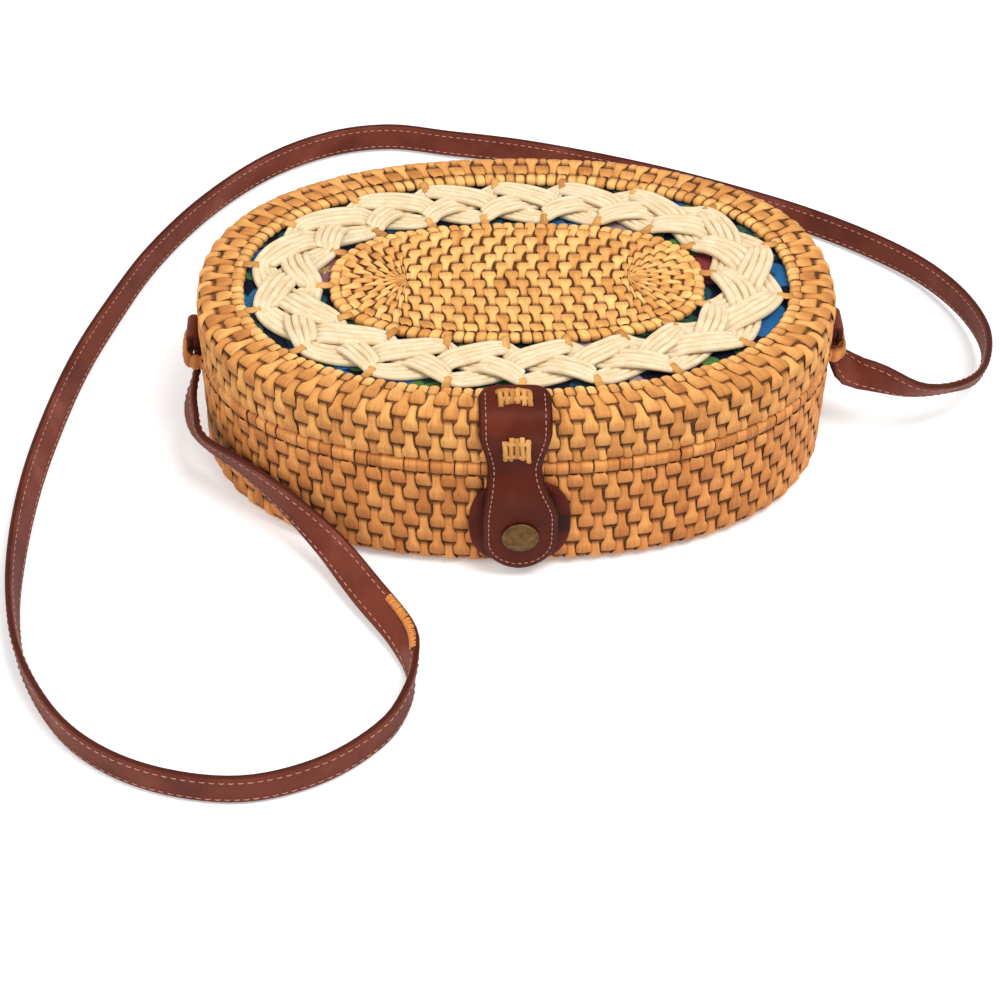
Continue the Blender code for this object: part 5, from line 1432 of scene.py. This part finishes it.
# %% [markdown]
# ## The patch and the snap
# A rounded leather patch sits on the basket behind the bulb. The snap in front of it has a
# domed cap of old brass with a rolled rim. Both are turned shapes: a profile of (radius,
# distance) points goes round the snap's own line. The patch is a little taller than wide. A
# bevelled cylinder would be near, but a profile also gives the rolled rim.

# %% Turn the patch
PATCH_HEIGHT, SNAP_HEIGHT = 0.0225, 0.0200


def turned(heap, profile, z, sides, roundness=1.0, taller=0.0):
    """Turn (radius, y) points round a line along y; the first and last are closed."""
    rows, cells = [], []
    for place, (radius, y) in enumerate(profile):
        ring = [oval(math.tau * k / sides, radius, radius + taller, roundness)
                for k in range(sides)]
        rows.append([Vector((SNAP_MIDDLE + across, y, z + up)) for across, up in ring])
        share = place / (len(profile) - 1)
        cells.append([(k / sides, 0.5 * share) for k in range(sides)])
    first = len(heap.points)
    heap.grid(rows, cells, wrap_row=True)
    last = first + (len(rows) - 1) * sides
    heap.fan(list(range(first, first + sides)), (SNAP_MIDDLE, profile[0][1], z), (0, 0), True)
    heap.fan(list(range(last, last + sides)), (SNAP_MIDDLE, profile[-1][1], z), (0, 0))


heap = Heap()
turned(heap, [(0.0160, -0.0722), (0.0169, -0.0724), (0.0171, -0.0730), (0.0168, -0.0735),
              (0.0160, -0.0737), (0.0150, -0.07375), (0.0100, -0.07380)], PATCH_HEIGHT, 96,
       roundness=0.78, taller=0.0019)
heap.build("patch", "base", patch_leather, "patch_leather", "closure_patch")

# %% Make the brass and turn the cap
def brass_finish():
    """Make old brass: brown, with paler worn spots."""
    look = Finish("old_brass", roughness=0.38, metallic=1.0)
    where = look.add("TexCoord", out=3)
    wear = look.add("TexNoise", {"Vector": where, "Scale": 420.0, "Detail": 6.0})
    look.join("Base Color", look.ramp(wear, ((0.30, (0.090, 0.050, 0.019)),
                                             (0.55, (0.155, 0.088, 0.034)),
                                             (0.80, (0.25, 0.155, 0.066)))))
    return look.bump(wear, 0.15, 0.0003)


brass = brass_finish()
heap = Heap()
dome = [(0.0058, -0.0775), (0.0062, -0.0777), (0.00635, -0.0780), (0.0062, -0.07835),
        (0.0058, -0.0784), (0.0055, -0.0782)]
dome += [(0.0054 * math.cos(math.radians(a)), -0.0782 - 0.0009 * math.sin(math.radians(a)))
         for a in (12, 28, 46, 64, 80)]
turned(heap, dome, SNAP_HEIGHT, 48)
heap.build("snap_dome", "flap", brass, "antique_brass", "snap_cap")

# %% [markdown]
# The other snap pieces are seen only when the tab is up. Their plain solids are right as they
# are, so they stay and only get the brass.

# %% Give the other snap pieces the brass
for name in ("snap_socket", "snap_stud", "snap_rivet"):
    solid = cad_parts[name]
    if not solid.material_slots:
        solid.data.materials.append(brass)
    for material_slot in solid.material_slots:
        material_slot.material = brass
    print(name, "in", brass.name)

# %% [markdown]
# ## Lashings on the tab and the patch
# The tab is lashed through the basket with vine: a few strips side by side, a bit uneven,
# whose ends dive through the leather, and two more laid across them. Each strip is a crowned
# ribbon that starts and ends below the surface. The patch has two small lashings under the
# flap. One block with grooves would look moulded, so each strip is laid by itself.

# %% Lash with strips
LASH_SPACING, LASH_HALF_WIDTH, LASH_ARCH = 0.0019, 0.00086, 0.00022


def lashing(heap, centre, across, row_way, out, span, strips, thick, seed, number=0,
            spacing=LASH_SPACING, arch=LASH_ARCH):
    """Lay strips side by side across a lashing."""
    luck = random.Random(seed)
    for strip in range(strips):
        rows, cells = [], []
        place = strip - (strips - 1) / 2
        skew = luck.uniform(-0.00035, 0.00035)
        lift = luck.uniform(0.0, 0.00030)
        long = span / 2 * luck.uniform(0.84, 1.06)
        slip = luck.uniform(-0.0005, 0.0005) - arch * place * place
        for step, (share, rise) in enumerate(((-1.0, -0.9), (-1.02, 0.15), (-0.86, 0.80),
                                              (-0.45, 1.10), (0.0, 0.85), (0.45, 1.15),
                                              (0.86, 0.80), (1.02, 0.15), (1.0, -0.9))):
            wobble = luck.uniform(-0.00016, 0.00016)
            middle = centre + across * (share * long + slip) + out * (rise * thick + lift)
            middle += row_way * (place * spacing + skew * share + wobble)
            rows.append([middle + row_way * (aside * LASH_HALF_WIDTH) + out * (crown * MM)
                         for aside, crown in ((-1.0, -0.75), (-0.65, -0.12), (0.0, 0.12),
                                              (0.65, -0.12), (1.0, -0.75))])
            cells.append([(number + strip + 0.02 + 0.24 * k, 0.04 + 0.78 * step / 8)
                          for k in range(5)])
        heap.grid(rows, cells, flip=across.cross(row_way).dot(out) > 0)

# %% Lash the tab and the patch
TAB_LASH, PATCH_LASH = 0.0012, 0.0006
LASHINGS = (
    # name, body, solid, middle, way of a strip, way of the row, outward, span, strips, thick
    ("lashing_upper", "lid", "tab_tie_upper", (TAB_MIDDLE, -0.0636, 0.0708),
     Y_WAY, X_WAY, UP, 0.0070, 6, TAB_LASH),
    ("lashing_lower", "lid", "tab_tie_lower", (-0.0030, -0.0748, 0.0576),
     UP, X_WAY, FRONT, 0.0100, 5, TAB_LASH),
    ("patch_lashing_upper", "base", "patch_tie_upper", (SNAP_MIDDLE, -0.0738, 0.0330),
     X_WAY, UP, FRONT, 0.0080, 2, PATCH_LASH),
    ("patch_lashing_lower", "base", "patch_tie_lower", (SNAP_MIDDLE, -0.0738, 0.0095),
     X_WAY, UP, FRONT, 0.0080, 2, PATCH_LASH),
)
for name, body, node, middle, across, row_way, out, span, strips, thick in LASHINGS:
    heap, centre = Heap(), Vector(middle)
    lashing(heap, centre, across, row_way, out, span, strips, thick, name)
    if thick == TAB_LASH:
        lashing(heap, centre, row_way, across, out, LASH_SPACING * strips, 2, thick * 0.95,
                name + " cross", strips, spacing=span * 0.56, arch=0.0)
    heap.build(name, body, tie_vine, "ata_tie", node)

# %% [markdown]
# ## The printed lining
# The inside is lined with thin dark cotton with a flower print, seen through the gaps of the
# plait. The print here is a plain one of its own: cells of a Voronoi texture give each flower
# a middle, and the angle round that middle cuts it into petals. On the flat pieces the angle
# is read from above. On the walls it is read from the side, or the petals would be drawn out
# up the wall, so there are two finishes of one print. An image could carry the print. Nodes
# draw it here, so the part needs no other file.

# %% Print the lining
def lining_finish(name, upright):
    """Make a dark cotton with small flowers and leaves, for a wall or for a floor."""
    look = Finish(name, roughness=0.9, specular=0.15)
    where = look.add("TexCoord", out=3)
    flat = look.add("VectorMath", {0: where, 1: (1.0, 1.0, 0.8)}, operation="MULTIPLY")

    def flowers(scale, size, petals, depth, stops, under):
        """Print flowers or leaves of one size over what lies under them."""
        cells = look.add("TexVoronoi", {"Vector": flat, "Scale": scale, "Randomness": 0.75})
        node = cells.node
        centre, tint = node.outputs["Position"], node.outputs["Color"]
        offset = look.add("VectorMath", {0: flat, 1: centre}, operation="SUBTRACT")
        dx = look.add("SeparateXYZ", {0: offset}, out=0)
        dy = look.add("SeparateXYZ", {0: offset}, out=1)
        if upright:
            side = look.math("SIGN", look.math("ADD", dx, look.math("MULTIPLY", dy, 0.6)))
            square = look.math("ADD", look.math("MULTIPLY", dx, dx),
                               look.math("MULTIPLY", dy, dy))
            dx = look.math("MULTIPLY", look.math("SQRT", square), side)
            dy = look.add("SeparateXYZ", {0: offset}, out=2)
        angle = look.math("ARCTAN2", dy, dx)
        spin = look.math("MULTIPLY", look.add("SeparateColor", {0: tint}, out=0), 6.28)
        turned_angle = look.math("ADD", look.math("MULTIPLY", angle, petals), spin)
        wave = look.math("COSINE", turned_angle)
        edge = look.math("ADD", look.math("MULTIPLY", wave, depth), size)
        reach = look.math("DIVIDE", node.outputs["Distance"], edge)
        inside = look.ramp(reach, ((0.92, (1.0, 1.0, 1.0)), (1.0, (0.0, 0.0, 0.0))))
        hue = look.ramp(look.add("SeparateColor", {0: tint}, out=1), stops, smooth=False)
        eye = look.ramp(reach, ((0.22, (1.0, 1.0, 1.0)), (0.30, (0.0, 0.0, 0.0))))
        hue = look.mix(eye, hue, (0.55, 0.38, 0.10))
        return look.mix(inside, under, hue)

    colour = flowers(85.0, 0.42, 2.0, 0.20, (
        (0.0, (0.02, 0.10, 0.03)), (0.5, (0.02, 0.06, 0.10)), (1.0, (0.09, 0.20, 0.04))),
        (0.006, 0.008, 0.020))
    colour = flowers(42.0, 0.36, 5.0, 0.09, (
        (0.0, (0.02, 0.11, 0.34)), (0.40, (0.02, 0.15, 0.30)), (0.44, (0.22, 0.03, 0.03)),
        (0.56, (0.24, 0.04, 0.05)), (0.60, (0.34, 0.28, 0.28)), (0.78, (0.30, 0.22, 0.24)),
        (0.82, (0.02, 0.09, 0.28)), (1.0, (0.03, 0.16, 0.30))), colour)
    threads = look.add("TexNoise", {"Vector": where, "Scale": 2600.0, "Detail": 2.0})
    shade = look.ramp(threads, ((0.35, (0.75, 0.75, 0.75)), (0.65, (1.1, 1.1, 1.1))))
    look.join("Base Color", look.mix(1.0, colour, shade, "MULTIPLY"))
    return look.bump(threads, 0.4, 0.0002)


floor_cotton = lining_finish("flower_cotton_flat", False)
wall_cotton = lining_finish("flower_cotton_upright", True)
print("finishes:", floor_cotton.name, wall_cotton.name)

# %% [markdown]
# Four pieces of cotton line the bag: a wall and a floor below, a wall and a top above. Thin
# cloth is never quite flat, so each is a fine grid pushed in and out by a smooth noise, and
# closed by a second layer half a millimetre behind. A cloth simulation could make the folds,
# but a lining is held at its edges and hardly moves, so the noise is enough.

# %% Cut a cloth wall
CLOTH, WALL_INSET, HEM = 0.0005, 0.0030, 0.0035


def cloth_ring(name, body, node, low, high, hem_up):
    """Make a cloth wall round the inside, with shallow folds and a hem at one edge."""
    heap = Heap()
    steps, rises = 180, 10
    rows = []
    for depth in (0.0, CLOTH):
        layer = []
        for j in range(rises + 1):
            z = low + (high - low) * j / rises
            row = []
            for k in range(steps):
                x, y = BAG_OUTLINE.at(BAG_OUTLINE.length * k / steps, 0.0)
                wave = noise.noise(Vector((x * 130, y * 130, z * 25 + WALL_INSET * 900)))
                slack = math.sin(math.pi * j / rises)
                away = WALL_INSET + depth + 0.0003 + 0.0005 * slack * (1 + 0.5 * wave)
                if (high - z if hem_up else z - low) < HEM:
                    away += 0.0003
                x, y = BAG_OUTLINE.at(BAG_OUTLINE.length * k / steps, away)
                row.append(Vector((x, y, z)))
            layer.append(row)
        rows += layer if depth == 0.0 else layer[::-1]
    cells = [[(k / steps, j / len(rows)) for k in range(steps)] for j in range(len(rows))]
    heap.grid(rows, cells, wrap_row=True, wrap_column=True)
    return heap.build(name, body, wall_cotton, "lining_cloth", node)

# %% Cut an oval cloth
def cloth_disc(name, body, node, inset, z, sag):
    """Make an oval cloth with shallow waves."""
    heap = Heap()
    steps, rings = 96, 14
    outline = Outline(BAG_OUTLINE.size[0] - inset, BAG_OUTLINE.size[1] - inset,
                      BAG_ROUNDNESS)
    rows = []
    for depth in (CLOTH, 0.0):
        layer = []
        for j in range(rings + 1):
            scale = 1 - j / rings * 0.97
            row = []
            for k in range(steps):
                x, y = outline.at(outline.length * k / steps, 0.0)
                wave = noise.noise(Vector((x * scale * 45, y * scale * 45, z * 50)))
                drop = sag * (1 - scale * scale) * (0.6 + 0.8 * wave)
                row.append(Vector((x * scale, y * scale, z + depth + drop)))
            layer.append(row)
        rows += layer[::-1] if depth else layer
    cells = [[(k / steps, abs(j - rings) / rings) for k in range(steps)]
             for j in range(len(rows))]
    heap.grid(rows, cells, wrap_row=True, flip=True)
    last = (len(rows) - 1) * steps
    heap.fan(list(range(steps)), (0.0, 0.0, z + CLOTH + sag * 0.6), (0.0, 1.0))
    heap.fan(list(range(last, last + steps)), (0.0, 0.0, z + sag * 0.6), (0.0, 1.0), True)
    return heap.build(name, body, floor_cotton, "lining_cloth", node)

# %% Line the bag
wall_below = cloth_ring("lining_wall_base", "base", "base_lining_wall", 0.0052, 0.0446, True)
wall_above = cloth_ring("lining_wall_lid", "lid", "lid_lining_wall", 0.0515, 0.0636, False)
lining_floor = cloth_disc("lining_floor", "base", "base_lining_floor", 0.0042, 0.0034, 0.0008)
lining_top = cloth_disc("lining_top", "lid", "lid_lining_top", 0.0036, 0.0641, -0.0005)

# %% [markdown]
# A wall is as long as the way round the basket's inside, 572 mm. The two oval pieces fill
# only a part of their length times their width.

print("declared:", wall_below.name, wall_above.name, lining_floor.name, lining_top.name)

# %% [markdown]
# ## Table and light
# The bag stands on a plain white table in soft light: one wide lamp above and in front, a
# weaker one from the left, and a pale world that fills the shadows. The table answers the
# camera with plain white where nothing shades it, and keeps the bag's shadow. A smaller lamp
# would draw harder shadows than the photograph has.

# %% Set the table
TABLE_LEVEL, TABLE_HALF = -0.0006, 4.0


def table_finish():
    """Make a white table whose unshaded parts reach the white of the backdrop."""
    look = Finish("white_table", roughness=0.9, specular=0.1)
    look.shader.inputs["Base Color"].default_value = (0.90, 0.90, 0.90, 1.0)
    camera_ray = look.add("LightPath")
    look.shader.inputs["Emission Color"].default_value = (1.0, 1.0, 1.0, 1.0)
    look.join("Emission Strength", look.math("MULTIPLY", camera_ray, 0.22))
    return look.material


heap = Heap()
heap.grid([[Vector((x * TABLE_HALF, y * TABLE_HALF, TABLE_LEVEL)) for x in (-1, 1)]
           for y in (-1, 1)], [[(0, 0), (1, 0)], [(0, 1), (1, 1)]])
table = heap.build("table", None, table_finish(), None)
table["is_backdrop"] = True

# %% Hang the lamps
BAG_MIDDLE = Vector((0.0, 0.0, 0.03))


def lamp(name, place, size, power):
    """Hang a wide soft lamp that looks at the bag."""
    data = bpy.data.lights.new(name, "AREA")
    data.shape, data.size, data.energy = "DISK", size, power
    made = bpy.data.objects.new(name, data)
    made.location = place
    made.rotation_mode = "QUATERNION"
    made.rotation_quaternion = (BAG_MIDDLE - Vector(place)).to_track_quat("-Z", "Y")
    bpy.context.scene.collection.objects.link(made)
    print(name, "lamp,", power, "W")


lamp("key", (0.45, -0.45, 1.35), 0.7, 15.0)
lamp("fill", (-0.9, -0.5, 0.9), 0.9, 5.0)

# %% Fill the room with pale light
world = bpy.data.worlds.new("pale_room")
world.use_nodes = True
nodes, links = world.node_tree.nodes, world.node_tree.links
backdrop = nodes["Background"]
backdrop.inputs["Color"].default_value = (1.0, 1.0, 1.0, 1.0)
backdrop.inputs["Strength"].default_value = 0.62
paper = nodes.new("ShaderNodeBackground")
paper.inputs["Color"].default_value = (1.0, 1.0, 1.0, 1.0)
paper.inputs["Strength"].default_value = 1.0
seen = nodes.new("ShaderNodeLightPath")
either = nodes.new("ShaderNodeMixShader")
links.new(seen.outputs["Is Camera Ray"], either.inputs[0])
links.new(backdrop.outputs[0], either.inputs[1])
links.new(paper.outputs[0], either.inputs[2])
links.new(either.outputs[0], nodes["World Output"].inputs["Surface"])
bpy.context.scene.world = world
bpy.context.scene.view_settings.view_transform = "Standard"
print("room light", round(backdrop.inputs["Strength"].default_value, 2))

# %% [markdown]
# ## Print the size
# Dressing must not change the size of the bag. The box of the solids and the box of what is
# shown now are printed side by side.

# %% Print the sizes
DRESSED_BOX = [list(corner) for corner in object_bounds()]
for name, box in (("solids", CAD_BOX), ("dressed", DRESSED_BOX)):
    print(name, [round((high - low) * 1000, 1) for low, high in zip(*box)], "mm")
